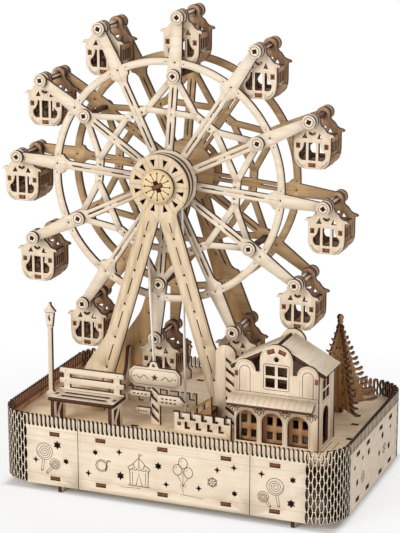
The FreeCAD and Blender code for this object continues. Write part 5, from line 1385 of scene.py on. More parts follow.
# %% Both end walls
SIDE_STARS = ((-50.8, 39, 4, 2.8, 1.2), (-30.8, 40.2, 4, 2.8, 1.2), (-15.2, 39.5, 6, 3.5, 2.1),
              (21.5, 39.8, 6, 3.5, 2.1), (43.2, 39.8, 4, 2.8, 1.2), (-44.2, 25.3, 6, 3.3, 2.0),
              (13.3, 28, 5, 3.0, 1.7), (39.7, 25.2, 6, 3.6, 2.1))
LEFT_END = (((17.1, 39.3, 6, 3.6, 2.1), (10.0, 27.1, 6, 2.5, 1.7), (35.4, 25.4, 4, 2.9, 1.1)),
            ((28.0, 32.9, 6.6, (30.2, 17.4)), (19.4, 23.9, 4.2, (26.0, 16.0))))
RIGHT_END = (((9.0, 39.6, 4, 3.0, 1.1), (33.1, 38.2, 6, 2.6, 1.7), (31.9, 19.8, 6, 3.6, 2.1)),
             ((19.6, 31.2, 6.6, (22.6, 16.2)), (10.4, 22.2, 4.2, (16.0, 15.2))))
for name, side, (stars, sweets) in (("left", -1, LEFT_END), ("right", 1, RIGHT_END)):
    wrap = Cut(name + "_end_wall")
    bend, right_handed = round_the_end(side), side < 0
    loops = end_loops(side) + [star(END_MID + y, *values) for y, *values in SIDE_STARS]
    loops += [star(s, *values) for s, *values in stars]
    loops += [star(TOTAL - s, *values) for s, *values in stars]
    wrap.sheet(loops, right_handed, face=(FACE, INSIDE), bend=bend, deep=CHARRED_AND_SHADE)
    art = [entry for values in sweets for entry in sweet(*values)]
    art += [(points * (-1, 1) + (TOTAL, 0), width, closed) for points, width, closed in art]
    art += [(swirl(END_MID - 30.0, 25.3, 5.2), 0.5, False)] + flake(END_MID + 27.0, 27.5, 5.0)
    for points, width, closed in art:
        wrap.line(points, width, right_handed, 0.0, -1, closed, bend=bend)
    gap = PANEL_HALF - SEAM
    for z in LONG_LINES:
        for a, b in ((gap, STRAIGHT), (TOTAL - STRAIGHT, TOTAL - gap)):
            wrap.line([(a, z), (b, z)], 0.15, right_handed, 0.0, -1, slot=FINE, bend=bend)
    for s in comb_places():
        picket_line(wrap, s - side * TEETH / 2, (right_handed, 0.0, -1), side, bend=bend)
    wrap.make(BASE, [name + "_wrap"], finishes=WALL)

# %% [markdown]
# ## Deck, bottom and feet
# Both floors have tabs that end flush in the walls, where they show as burnt end grain.
# The deck is pierced for the stand's tenons, for the belt, and with spare slots that lie
# about it for the scenery's feet.

# %% The two floors
TAB_FLUSH, IN_WALL = 0.15, 3.05
SPARE_SLOTS = ((-62, -79), (-80, -66), (-12, -70), (14, -72), (-38, -52), (30, -8), (6, -24),
               (-20, -10), (64, 10), (84, 4), (52, 30), (74, 44), (-112, 30), (-104, -8),
               (-60, 44), (0, 52), (30, 60), (-30, 66), (124, -20), (118, 12))


def plate_loop():
    """A rounded oblong with five tabs on each long side and four on each short one."""
    x, y, r = HALF_X - IN_WALL, HALF_Y - IN_WALL, CORNER - IN_WALL
    out_x, out_y = HALF_X - TAB_FLUSH - 1.0, TAB_FLUSH - HALF_Y
    front_edge, right_edge = [], []
    for t in (-FAR_TAB, -TAB_X, 0.0, TAB_X, FAR_TAB):
        front_edge += [(t - TAB_HALF, -y), (t - TAB_HALF, out_y), (t + TAB_HALF, out_y),
                       (t + TAB_HALF, -y)]
    for t in SIDE_TABS:
        right_edge += [(x, t - TAB_HALF), (out_x, t - TAB_HALF), (out_x, t + TAB_HALF),
                       (x, t + TAB_HALF)]
    half = np.vstack([front_edge, arc(x - r, r - y, r, -85, -5, 9), right_edge,
                      arc(x - r, y - r, r, 5, 85, 9)])
    return np.vstack([half, -half])


def around(x, y, wide, deep):
    """An oblong by its middle and its two sides."""
    return rect(x - wide / 2, y - deep / 2, x + wide / 2, y + deep / 2)


hub_x, belt_y = HUB[0] - MID[0], WHEEL_Y - (OUTER + CORE) / 2 - MID[1]
holes = [around(hub_x + sign * 60.0, WHEEL_Y + way * (STAND + SHEET / 2) - MID[1], 14.6, 3.3)
         for way in (-1, 1) for sign in (-1, 1)]
holes += [around(hub_x - 8.2, belt_y, 6, 6), around(hub_x + 21.8, belt_y, 6, 6)]
holes += [around(x, y, 5.8, 4.2) for x, y in SPARE_SLOTS]
deck = Cut("deck_sheet")
deck.sheet([move(p, *MID) for p in [plate_loop()] + holes], FLAT, DECK_Z, edge=TAB_END)
deck.line(move(rect(113.0, -58.0, 118.5, -30.0), *MID), 0.5, FLAT, DECK_TOP, 1, True)
deck.make(BASE, ["deck"], finishes=FLOOR)
bottom = Cut("bottom_sheet")
bottom.sheet([move(plate_loop(), *MID)], FLAT, FLOOR_Z, edge=TAB_END)
bottom.make(BASE, ["bottom_plate"])

# %% The foot rails
RAIL_X, RAIL_HIGH = (-86.0, 101.4), 6
rails = Cut("foot_rail_sheets")
y = HALF_Y - IN_WALL
rail = smooth([(-y, 0), (-y + 3, 0), (-y + 8, RAIL_HIGH, 5), (y - 8, RAIL_HIGH, 5), (y - 3, 0),
               (y, 0), (y, FLOOR_Z), (-y, FLOOR_Z)], step=10)
for x in RAIL_X:
    rails.sheet([move(rail, MID[1], 0)], SIDE, MID[0] + x - SHEET / 2)
rails.make(BASE, ["foot_rails"])

# %% [markdown]
# ## The drive
# A white silicone rubber band runs from the hub's groove down into the box, where a crank
# shaft carries a smaller pulley. Its path is two arcs and the two straight lines that
# touch both circles, and its section is an oblong with round corners. A curve with a bevel
# object could do it too, but a grid of points needs no second object.

# %% A closed tube of quads, and the belt's path
BELT_Y = WHEEL_Y - (OUTER + CORE) / 2
TOP_R, LOW_R, HALF_THICK, HALF_WIDE = 15.2, 11.8, 0.8, 1.2


def belt_path():
    """An arc round each pulley. The touching lines leave both circles at the angle whose
    cosine is (difference of the radii) / (distance of the axes)."""
    a, b = np.array(HUB), np.array(CRANK)
    d = b - a
    base = math.degrees(math.atan2(d[1], d[0]))
    open_by = math.degrees(math.acos((TOP_R - LOW_R) / np.linalg.norm(d)))
    top = arc(*a, TOP_R, base + open_by, base + 360 - open_by, 40)
    low = arc(*b, LOW_R, base - open_by, base + open_by, 30)
    return np.vstack([top, low])


def quads_of(m, n, closed):
    """Indices of the quads of a grid of m rings with n points each; closed joins the last
    ring to the first."""
    i, j = np.meshgrid(np.arange(m if closed else m - 1), np.arange(n), indexing="ij")
    after, beside_it = (i + 1) % m, (j + 1) % n
    return np.stack([i * n + j, after * n + j, after * n + beside_it, i * n + beside_it],
                    -1).reshape(-1, 4).tolist()


path = belt_path()
lengths = np.linalg.norm(np.roll(path, -1, 0) - path, axis=1)
print("the belt is", round(float(lengths.sum())), "mm long")

# %% The belt
# Silicone rubber, moulded: off-white with a soft shine, and a skin that is barely uneven.
RUBBER, tree = new_finish("white_silicone_rubber")
place = node(tree, "ShaderNodeTexCoord").outputs["Object"]
noise = node(tree, "ShaderNodeTexNoise", {"Vector": place}, Scale=900.0, Detail=2.0)
bump = node(tree, "ShaderNodeBump", {"Height": noise.outputs["Fac"]}, Strength=0.2, Distance=0.0001)
principled(tree, {"Normal": bump.outputs[0]}, Base_Color=hex_colour("#F2EFE9"), Roughness=0.42,
           IOR=1.41)


def belt_points(centre):
    """Section point (p, q) at path point c with outward normal n: c + n p, and q along the
    axle. p and q are cos and sin, each to the power 0.6, which fills the corners."""
    d = np.roll(centre, -1, 0) - np.roll(centre, 1, 0)
    d /= np.linalg.norm(d, axis=1)[:, None]
    normal = np.column_stack([d[:, 1], -d[:, 0]])
    a = np.radians(np.arange(12) * 30)
    p = np.sign(np.cos(a)) * np.abs(np.cos(a)) ** 0.6 * HALF_THICK
    q = np.sign(np.sin(a)) * np.abs(np.sin(a)) ** 0.6 * HALF_WIDE
    xz = centre[:, None] + normal[:, None] * p[None, :, None]
    return np.stack([xz[..., 0], np.broadcast_to(BELT_Y + q, xz.shape[:2]), xz[..., 1]], -1)


points = belt_points(path)
belt_mesh = bpy.data.meshes.new("belt_band")
belt_quads = quads_of(*points.shape[:2], True)
belt_mesh.from_pydata((points.reshape(-1, 3) * 0.001).tolist(), [], belt_quads)
belt_mesh.polygons.foreach_set("use_smooth", [True] * len(belt_quads))
belt_mesh.materials.append(RUBBER)
place_piece("belt_band", belt_mesh, BASE, ["belt"])

# %% [markdown]
# The crank's pulley is three discs like the hub's, and its arm is one more sheet, a slot
# shape with an engraved line round it, behind the back panel.

# %% Crank pulley and arm
CRANK_CHEEK, CRANK_GROOVE, SHAFT_R, THROW, LEVER_R = 15.3, 10.7, 3.0, 22.0, 5.0
bore = disc(0, 0, SHAFT_R + 0.05, 20)
crank_discs = Cut("crank_pulley_discs")
for radius, offset in ((CRANK_CHEEK, OUTER), (CRANK_GROOVE, CORE), (CRANK_CHEEK, FLANGE)):
    crank_discs.sheet([move(disc(0, 0, radius, 48), *CRANK), move(bore, *CRANK)], FRONT,
                      WHEEL_Y - offset - SHEET)
crank_discs.make("crank", ["crank_pulley"])


def lever_loop(radius, count):
    """Half a circle round the shaft, half a one round the knob, and the lines between."""
    return np.vstack([arc(0, 0, radius, 0, 180, count), arc(0, -THROW, radius, 180, 360, count)])


lever = Cut("crank_lever")
arm_face = back_face + 0.3
lever.sheet([move(p, *CRANK) for p in (lever_loop(LEVER_R, 17), bore, capsule(0, -11, 8.0, 1.6))],
            FRONT, arm_face)
lever.line(move(lever_loop(LEVER_R - 1.1, 13), *CRANK), 0.3, FRONT, arm_face + SHEET, 1, True)
lever.make("crank", ["crank_arm"])

# %% [markdown]
# The knob and the shaft are turned from solid wood. A turned piece is a profile swept
# round its axis, which needs no Screw modifier: a grid of angles and profile points does.

# %% Turned pieces
def turned_piece(name, profile, x, z, nodes):
    """The profile (y, r) is swept round the Y axis through (x, z):
    (x + r cos a, y, z + r sin a), with a flat end at both ends."""
    prof = np.asarray(profile, float)
    m, n = len(prof), 28
    a = np.linspace(0, 2 * math.pi, n, endpoint=False)
    xs, zs = x + prof[:, 1:] * np.cos(a), z + prof[:, 1:] * np.sin(a)
    points = np.stack([xs, np.broadcast_to(prof[:, :1], xs.shape), zs], -1).reshape(-1, 3)
    ends = [list(range(n)), list(range((m - 1) * n, m * n))[::-1]]
    mesh = bpy.data.meshes.new(name)
    mesh.from_pydata((points * 0.001).tolist(), [], quads_of(m, n, False) + ends)
    mesh.materials.append(PLY_Y)
    place_piece(name, mesh, "crank", nodes)


KNOB = ((0.0, 2.6), (0.6, 3.4), (2.0, 3.9), (6.0, 4.0), (10.0, 3.8), (12.4, 3.2), (13.6, 2.2),
        (13.95, 0.9))
turned_piece("crank_handle", [(arm_face + SHEET + y, r) for y, r in KNOB], CRANK[0],
             CRANK[1] - THROW, ["crank_knob"])
low, high = (corner.y * 1000 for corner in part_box("crank_shaft"))
turned_piece("crank_rod", [(low, SHAFT_R - 0.4), (low + 0.4, SHAFT_R), (high - 0.4, SHAFT_R),
                           (high, SHAFT_R - 0.4)], *CRANK, ["crank_shaft"])

# %% [markdown]
# Two plates stand between the floors, under the legs, and carry the shaft.

# %% Bearings of the crank's shaft
low, high = FLOOR_Z + SHEET - CRANK[1], DECK_Z - CRANK[1]
plate = smooth([(-20, low), (20, low), (20, 8, 6), (12, high), (-12, high), (-20, 8, 6)])
bearings = Cut("bearing_sheets")
for y in (WHEEL_Y - STAND - SHEET, WHEEL_Y + STAND):
    bearings.sheet([move(plate, *CRANK), move(disc(0, 0, 3.2, 20), *CRANK)], FRONT, y)
bearings.make(BASE, ["bearing_plates"])

# %% [markdown]
# ## The fairground
# A park bench has a seat with two slots, a back whose ends are notched, and two legs. All
# are flat, so each is a loop with its holes. A Boolean modifier could cut the slots too,
# but as loops of the drawing they get clean walls and their own burnt finish.

# %% Bench
SEAT_L, SEAT_R, SEAT_F, SEAT_B = -98.8, -45.0, -76.0, -55.0
SEAT_Z, BACK_TOP, TONGUE = 69.7, 90.0, 3.6
seat = Cut("bench_seat_sheet")
slots = [smooth([(SEAT_L + 8, y, 1.3), (SEAT_R - 8, y, 1.3), (SEAT_R - 8, y + 3, 1.3),
                 (SEAT_L + 8, y + 3, 1.3)]) for y in (SEAT_F + 5.2, SEAT_F + 12.2)]
seat.sheet([move(p, *MID) for p in [rect(SEAT_L, SEAT_F, SEAT_R, SEAT_B)] + slots], FLAT, SEAT_Z,
           deep=CHARRED_AND_SHADE)
for x in (SEAT_L + 3.0, SEAT_R - 3.0):
    seat.patch([move(rect(x - 1.5, SEAT_F + 7.0, x + 1.5, SEAT_F + 12.0), *MID)], FLAT,
               SEAT_Z + SHEET, 1, TAB_END)
seat.make(BASE, ["bench_seat"])

# %% The bench's back and legs
z = np.linspace(SEAT_Z, BACK_TOP, 6)
notched = [(SEAT_L, z[0]), (SEAT_R, z[0])]
for k in (1, 3):
    notched += [(SEAT_R, z[k]), (SEAT_R - TONGUE, z[k]), (SEAT_R - TONGUE, z[k + 1]),
                (SEAT_R, z[k + 1])]
notched += [(SEAT_R, BACK_TOP, 1.6), (SEAT_L, BACK_TOP, 1.6)]
for k in (3, 1):
    notched += [(SEAT_L, z[k + 1]), (SEAT_L + TONGUE, z[k + 1]), (SEAT_L + TONGUE, z[k]),
                (SEAT_L, z[k])]
slots = [rect(SEAT_L + 8.5, z[k] + 0.4, SEAT_R - 8.5, z[k + 1] - 0.4) for k in (1, 3)]
bench = Cut("bench_backrest_sheet")
bench.sheet([at_mid(p) for p in [smooth(notched)] + slots], FRONT, SEAT_B + MID[1])
for x in (SEAT_L + 5.2, SEAT_R - 5.2):
    for k in (0, 2, 4):
        nail = disc(x, (z[k] + z[k + 1]) / 2, 0.45, 8)
        bench.patch([at_mid(nail)], FRONT, SEAT_B + MID[1], -1)
bench.make(BASE, ["bench_back"])

legs = Cut("bench_leg_sheets")
tall = SEAT_Z - DECK_TOP
leg_loop = [(SEAT_F + 1, 0), (SEAT_F + 5, 0), (SEAT_F + 5, 2), (SEAT_B - 4.5, tall - 5),
            (SEAT_B - 4.5, 0), (SEAT_B, 0), (SEAT_B, tall), (SEAT_F + 1, tall)]
opening = [(SEAT_F + 5, 7.5), (SEAT_B - 8.5, tall - 3), (SEAT_F + 5, tall - 3)]
for x in (SEAT_L + 1.5, SEAT_R - 4.5):
    legs.sheet([move(p, MID[1], DECK_TOP) for p in (leg_loop, opening)], SIDE, MID[0] + x)
legs.make(BASE, ["bench_legs"])

# %% [markdown]
# Each street lamp is one sheet with a post, a lantern and a pierced light. Its outline is
# the same on the left and the right, so only the right half is written down.

# %% Street lamps
lamps = Cut("street_lamp_sheets")
for x, y, top in ((-122.0, -23.5, 130.0), (-42.7, 66.0, 83.0)):
    tall = top - DECK_TOP
    half = [(4.0, 0), (4.0, 7.4, 1.2), (2.3, 8.2), (1.65, 9.6), (1.65, tall - 20.4),
            (2.4, tall - 19.6), (2.5, tall - 18.4), (3.8, tall - 7.6), (5.0, tall - 7.1),
            (4.6, tall - 6.2), (1.3, tall - 2.6), (0.9, tall - 1.6), (1.1, tall - 0.9), (0.6, tall)]
    light = star(0, tall - 12.4, 2, 3.4, 1.2)
    lamps.sheet([at_mid(p, DECK_TOP) + (x, 0) for p in (both(half), light)], FRONT, y + MID[1])
    for side, shown in ((-1, y + MID[1]), (1, y + MID[1] + SHEET)):
        for z, w in ((tall - 7.9, 3.3), (tall - 18.2, 2.2)):
            lamps.line(at_mid([(x - w, z), (x + w, z)], DECK_TOP), 0.35, FRONT, shown, side)
        lamps.line(at_mid([(x, 2.0), (x, 6.4)], DECK_TOP), 0.3, FRONT, shown, side, slot=FINE)
lamps.make(BASE, ["street_lamps"])

# %% [markdown]
# The sign is a pole whose stripes are slanted cuts, an octagonal board and three pointers
# on its front. The boards carry an engraved border, a star between two waves, and dashes.

# %% The striped pole
POLE_X, POLE_Y, POLE_HALF, SIGN_TALL = -23.5, -44.9, 3.65, 101.0 - DECK_TOP


def on_sign(points):
    """A drawing measured from the foot of the pole."""
    return at_mid(np.array(points, float), DECK_TOP) + (POLE_X, 0)


pole = Cut("striped_pole_sheet")
a = POLE_HALF - 0.7
stripes = [[(-a, z + 1.3), (a, z - 3.8), (a, z - 0.4), (-a, z + 4.7)] for z in (5.6, 13.1, 20.6, 28.1)]
pole.sheet([on_sign(p) for p in [rect(-POLE_HALF, 0, POLE_HALF, SIGN_TALL - 8)] + stripes], FRONT,
           POLE_Y + MID[1])
pole.make(BASE, ["sign_pole"])

# %% The boards
low, high, left, right, cut_off = SIGN_TALL - 20.5, SIGN_TALL - 5.0, -20.1, 21.7, 4.0
board = smooth([(left + cut_off, low), (right - cut_off, low), (right, low + cut_off),
                (right, high - cut_off), (right - cut_off, high), (4.4, high),
                (3.2, high + 1.4, 1.5), (3.2, SIGN_TALL, 3.15), (-3.2, SIGN_TALL, 3.15),
                (-3.2, high + 1.4, 1.5), (-4.4, high), (left + cut_off, high),
                (left, high - cut_off), (left, low + cut_off)])
POINTERS = (((-22.0, 25.0), (-19.0, 22.8), (-2.9, 22.8), (-2.9, 27.2), (-19.0, 27.2)),
            ((-17.2, 11.4), (-14.6, 8.9), (-3.0, 8.9), (-3.0, 14.0), (-14.6, 14.0)),
            ((3.0, 17.4), (20.5, 17.4), (24.9, 21.6), (20.5, 25.8), (3.0, 25.8)))
DASHES = ((-17.5, -5.0, 25.0), (-13.5, -5.2, 11.4), (5.5, 19.0, 23.0), (5.5, 19.0, 20.2))
boards = Cut("sign_board_sheets")
face = POLE_Y + MID[1] - SHEET
boards.sheet([on_sign(board), on_sign(disc(0, SIGN_TALL - 3.2, 1.25, 16))], FRONT, face)
for pointer in POINTERS:
    boards.sheet([on_sign(pointer)], FRONT, face)
near, corner = 1.7, cut_off + 0.6
border = [(left + corner, low + near), (right - corner, low + near), (right - near, low + corner),
          (right - near, high - corner), (right - corner, high - near),
          (left + corner, high - near), (left + near, high - corner), (left + near, low + corner)]
boards.line(on_sign(border), 0.35, FRONT, face, -1, True)
mid_x, mid_z = 0.8, (low + high) / 2
boards.patch([on_sign(star(mid_x, mid_z, 5, 3.0, 1.3))], FRONT, face, -1)
for s in (1, -1):
    wave = [(mid_x + s * x, mid_z + 1.3 * math.sin(x * 0.9)) for x in np.linspace(5, 15, 24)]
    boards.line(on_sign(wave), 0.55, FRONT, face, -1)
    boards.patch([on_sign(disc(mid_x + s * 16.6, mid_z, 0.6, 10))], FRONT, face, -1)
for x0, x1, z in DASHES:
    for k in range(4):
        dash = [(x0 + (x1 - x0) * (k + t) / 4, z) for t in (0.15, 0.75)]
        boards.line(on_sign(dash), 1.1, FRONT, face, -1)
boards.make(BASE, ["sign_boards"])

# %% [markdown]
# ## Low walls, stairs and tower
# Two low walls have notches along the top, and L-shaped cuts that hint at their stones.
# The front one also holds a tab's end in a small square hole.

# %% Low walls
walls = Cut("low_wall_sheets")
for left, right, top, y, has_tab in ((-2.7, 42.6, 67.0, -58.0, True), (-66.0, -8.0, 60.8, 0.5, False)):
    wide, tall = right - left, top - DECK_TOP
    count = int(wide / 8.4)
    pitch = wide / count
    outline = [(0, 0), (wide, 0), (wide, tall)]
    for k in reversed(range(count)):
        x = (k + 0.4) * pitch
        outline += [(x + 2.4, tall), (x + 2.4, tall - 3.4), (x + 4.6, tall - 3.4),
                    (x + 4.6, tall - 5.2), (x, tall - 5.2), (x, tall)]
    outline.append((0, tall))
    high = min(5.8, tall - 7.6)
    z = tall - 6.6 - high
    cuts = [[(x, z), (x + 4.3, z), (x + 4.3, z + 1.8), (x + 2.2, z + 1.8), (x + 2.2, z + high),
             (x, z + high)] for x in ((k + 1) * pitch - 0.6 for k in range(count - 1))]
    if has_tab:
        cuts.append(rect(2.6, tall - 10.2, 5.4, tall - 7.4))
    shift = (MID[0] + left, DECK_TOP)
    walls.sheet([move(p, *shift) for p in [outline] + cuts], FRONT, y + MID[1], deep=CHARRED_AND_SHADE)
    if has_tab:
        walls.sheet([move(rect(2.9, tall - 9.9, 5.1, tall - 7.7), *shift)], FRONT,
                    y + MID[1] + 0.1, SHEET - 0.2, TAB_END)
walls.make(BASE, ["fences"])

# %% [markdown]
# The stairs have two different cheeks: the front one goes on into a railing with slanted
# windows, and the rear one ends at the steps. Treads lie between them.

# %% Stairs
GOING, RISE, STEPS, TREAD_WIDE, RAIL_TOP = 6.2, 4.6, 4, 8.0, 9.0
sx, sy = -0.8 + MID[0], -50.0 + MID[1]
stairs = Cut("stair_sheets")
step_edge = [(0, 0)]
for k in range(STEPS):
    step_edge += [(k * GOING, (k + 1) * RISE), ((k + 1) * GOING, (k + 1) * RISE)]
step_edge.append((STEPS * GOING, 0))
cheek = smooth(step_edge[:2] + [(0, RISE + RAIL_TOP, 1.0), (2, RISE + RAIL_TOP, 1.5),
                                (STEPS * GOING, (STEPS + 1) * RISE + RAIL_TOP - 2), (STEPS * GOING, 0)])
windows = []
for x in (1.4 + k * (GOING - 0.35) for k in range(STEPS)):
    z = RISE * 0.9 + x * RISE / GOING
    windows.append([(x, z + 0.8), (x + 3.9, z + 3.6), (x + 3.9, z + RAIL_TOP - 0.6),
                    (x, z + RAIL_TOP - 3.4)])
stairs.sheet([move(p, sx, DECK_TOP) for p in [cheek] + windows], FRONT, sy)
stairs.sheet([move(step_edge, sx, DECK_TOP)], FRONT, sy + SHEET + TREAD_WIDE)
for k in range(STEPS):
    tread = rect(sx + k * GOING, sy + SHEET, sx + (k + 1) * GOING, sy + SHEET + TREAD_WIDE)
    stairs.sheet([tread], FLAT, DECK_TOP + (k + 1) * RISE - SHEET)
stairs.make(BASE, ["staircase"], finishes=SHADED)

# %% [markdown]
# The tower is tall and narrow with a round top, and its right half is cut into slanting
# stripes. Its place comes from the frame, so it follows the construction.

# %% Tower
tower = Cut("tower_sheet")
wide, tall = 16.0, 117.0 - DECK_TOP
outline = smooth([(0, 0), (wide, 0), (wide, tall, wide / 2), (0, tall, wide / 2)], step=6)
a, b = wide / 2 + 0.3, wide - 0.9
stripes = [[(a, z + 2.2), (b, z - 2.6), (b, z + 0.2), (a, z + 5.0)]
           for z in (7.0 + k * 7.7 for k in range(7))]
low_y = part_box("striped_tower")[0].y * 1000
shift = (MID[0] + 22.0, DECK_TOP)
tower.sheet([move(p, *shift) for p in [outline] + stripes], FRONT, low_y)
tower.line(move([(wide / 2, 4.0), (wide / 2, tall - 3.0)], *shift), 0.25, FRONT, low_y, -1, slot=FINE)
tower.make(BASE, ["striped_tower"], finishes=PLY_UP)

# %% [markdown]
# ## The little house
# An arcade of three arches with leaves between them carries an upper front with a round
# gable between two round lobes. Side walls, a sloping awning and a roof of two boards
# close it. First the arcade: the leaves are engraved, and each is a closed line.

# %% The arcade
HOUSE_L, HOUSE_R, STOREY = 46.0, 111.0, 88.0
HOUSE_MID = (HOUSE_L + HOUSE_R) / 2
HOUSE_F, HOUSE_B = -59.0 + MID[1], -18.4 + MID[1]
ARCH_HALF, ARCH_TOP = 16.3 / 2, 76.3
ARCHES = [HOUSE_MID - 2.9 + k * 20.1 for k in (-1, 0, 1)]


def leaf(x, z, length, degrees):
    """A pointed oval: half width goes with sin of the way along."""
    t = np.linspace(0, math.pi, 8)
    up = np.column_stack([length * t / math.pi, 0.26 * length * np.sin(t)])
    return move(turn(np.vstack([up, (up * (1, -1))[-2:0:-1]]), degrees), x, z)


arcade = Cut("house_arcade_sheet")
arches = [smooth([(x - ARCH_HALF, DECK_TOP + 3), (x + ARCH_HALF, DECK_TOP + 3),
                  (x + ARCH_HALF, ARCH_TOP, ARCH_HALF), (x - ARCH_HALF, ARCH_TOP, ARCH_HALF)],
                 step=10) for x in ARCHES]
arcade.sheet([at_mid(p) for p in [rect(HOUSE_L, DECK_TOP, HOUSE_R, STOREY)] + arches], FRONT, HOUSE_F)
for x in (ARCHES[0] - 10.05, ARCHES[0] + 10.05, ARCHES[1] + 10.05, ARCHES[2] + 10.3):
    for degrees, length in ((270, 4.9), (226, 4.1), (314, 4.1), (194, 4.1), (346, 4.1)):
        root = turn([(0.8, 0)], degrees)[0] + (x, 78.8)
        arcade.line(at_mid(leaf(*root, length, degrees)), 0.5, FRONT, HOUSE_F, -1, True)
for x in ARCHES:
    r = ARCH_HALF + 0.9
    ring = np.vstack([[(x - r, DECK_TOP + 4)], arc(x, ARCH_TOP - ARCH_HALF, r, 180, 0, 19),
                      [(x + r, DECK_TOP + 4)]])
    arcade.line(at_mid(ring), 0.22, FRONT, HOUSE_F, -1, slot=FINE)
arcade.make(BASE, ["house_front"], finishes=PLY_UP)

# %% [markdown]
# Through the arches a wall with panes is seen, and darkness behind it. That wall, a
# ceiling, and a thin liner replace no node: the construction leaves them out. Wall and
# ceiling are painted brown and the liner near black, as painted shade for the dark inside.

# %% Inside the house
inner = Cut("house_inner_sheets")
a, b = HOUSE_L + 3.4, HOUSE_R - 3.4
panes = [rect(x + x0, z0, x + x1, z1) for x in ARCHES for x0, x1 in ((-6.0, -1.5), (1.5, 6.0))
         for z0, z1 in ((53.5, 59.6), (64.4, 71.0))]
inner.sheet([at_mid(p) for p in [rect(a, DECK_TOP + 0.1, b, 84.0)] + panes], FRONT, HOUSE_F + 6.0)
inner.sheet([rect(MID[0] + a, HOUSE_F + 3.2, MID[0] + b, HOUSE_B - 3.4)], FLAT, 84.1)
inner.sheet([at_mid(rect(a, DECK_TOP + 0.1, b, 83.9))], FRONT, HOUSE_B - 3.6, 0.4, CHARRED_AND_SHADE, CHARRED_AND_SHADE)
inner.make(BASE, finishes=INNER)

# %% [markdown]
# The upper front has a window of four panes and a round eye under the gable, and two
# tabs of the roof boards come through it, each turned by 20 degrees.

# %% The upper front
RIDGE, GABLE_R, LOBE_R = 129.4, 12.9, 8.2
LOBE_TOP, NOTCH = RIDGE - 13.6, RIDGE - 21.9
a, b = HOUSE_L + 2 * LOBE_R, HOUSE_R - 2 * LOBE_R
outline = smooth([(HOUSE_L, STOREY), (HOUSE_R, STOREY), (HOUSE_R, LOBE_TOP, LOBE_R),
                  (b, LOBE_TOP, LOBE_R), (b, NOTCH, 0.5), (HOUSE_MID + GABLE_R, NOTCH, 0.5),
                  (HOUSE_MID + GABLE_R, RIDGE, GABLE_R), (HOUSE_MID - GABLE_R, RIDGE, GABLE_R),
                  (HOUSE_MID - GABLE_R, NOTCH, 0.5), (a, NOTCH, 0.5), (a, LOBE_TOP, LOBE_R),
                  (HOUSE_L, LOBE_TOP, LOBE_R)], step=8)
panes = [rect(x, z, x + 7.3, z + 7.2) for x in (HOUSE_MID - 8.4, HOUSE_MID + 1.1)
         for z in (RIDGE - 33.2, RIDGE - 24.0)]


def roof_tab(s, half_long, half_high):
    """The end of a roof board's tab, or its hole, on the side s of the gable."""
    tab = rect(-half_long, -half_high, half_long, half_high)
    return at_mid(move(turn(tab, -20 * s), HOUSE_MID + s * 4.4, RIDGE - 5.6))


upper = Cut("house_upper_sheet")
eye = disc(HOUSE_MID, RIDGE - 11.2, 1.9, 20)
upper.sheet([at_mid(p) for p in [outline, eye] + panes] + [roof_tab(s, 3.0, 1.75) for s in (1, -1)],
            FRONT, HOUSE_F)
for s in (1, -1):
    upper.sheet([roof_tab(s, 2.75, 1.5)], FRONT, HOUSE_F + 0.1, SHEET - 0.1, TAB_END)
print("the gable stands", round(RIDGE - DECK_TOP, 1), "mm over the deck")

# %% Its engraving: window frame, little doors, planks, and a line under the gable's edge
on_front = (FRONT, HOUSE_F, -1)
low, high = RIDGE - 34.9, RIDGE - 15.2
upper.line(at_mid(smooth([(HOUSE_MID + x, z, 1.6) for x, z in
                          ((-9.9, low), (9.9, low), (9.9, high), (-9.9, high))])), 0.4, *on_front, True)
for s in (1, -1):
    x = HOUSE_MID + s * 24.4
    door = np.vstack([[(x - 4.1, STOREY + 3.4)], arc(x, RIDGE - 22.4, 4.1, 180, 0, 15),
                      [(x + 4.1, STOREY + 3.4)]])
    upper.line(at_mid(door), 0.4, *on_front)
    upper.line(at_mid(arc(x, LOBE_TOP - LOBE_R, LOBE_R - 1.3, 0, 180, 19)), 0.22, *on_front, slot=FINE)
    for dx in (-6.6, 6.4, 8.2):
        plank = [(x + s * dx, STOREY + 3.4), (x + s * dx, STOREY + 17)]
        upper.line(at_mid(plank), 0.2, *on_front, slot=FINE)
    x = HOUSE_MID + s * 31.0
    upper.patch([at_mid(rect(x - 1.4, 102.5, x + 1.4, 106.7))], *on_front, TAB_END)
level = [(HOUSE_L + 0.5, STOREY + 3.2), (HOUSE_R - 0.5, STOREY + 3.2)]
upper.line(at_mid(level), 0.35, *on_front)
upper.line(at_mid(arc(HOUSE_MID, RIDGE - GABLE_R, GABLE_R - 1.2, 20, 160, 24)), 0.22, *on_front,
           slot=FINE)
upper.make(BASE, ["house_upper"], finishes=PLY_UP)

# %% [markdown]
# The right wall has a door and four panes, the left one is plain, and the rear wall ends
# in a gable that follows the roof's slope up to a round head.

# %% House sides
EAVE, SLOPE, HEAD_HALF = 108.2, 20.0 / 37.5, 10
fy, ry = HOUSE_F + SHEET, HOUSE_B - SHEET
wall = rect(fy, DECK_TOP, ry, EAVE)
cuts = [smooth([(-47.0, DECK_TOP + 3), (-34.0, DECK_TOP + 3), (-34.0, 81.0, 6.5), (-47.0, 81.0, 6.5)])]
cuts += [rect(y, z, y + 6.6, z + 7.0) for y in (-48.0, -40.0) for z in (87.0, 95.6)]
sides = Cut("house_side_sheets")
sides.sheet([wall], SIDE, MID[0] + HOUSE_L)
sides.sheet([wall] + [move(p, MID[1], 0) for p in cuts], SIDE, MID[0] + HOUSE_R - SHEET)
on_side = (SIDE, MID[0] + HOUSE_R, 1)
frame = smooth([(-49.6, 85.4, 1), (-31.8, 85.4, 1), (-31.8, 104.2, 1), (-49.6, 104.2, 1)])
sides.line(move(frame, MID[1], 0), 0.35, *on_side, True)
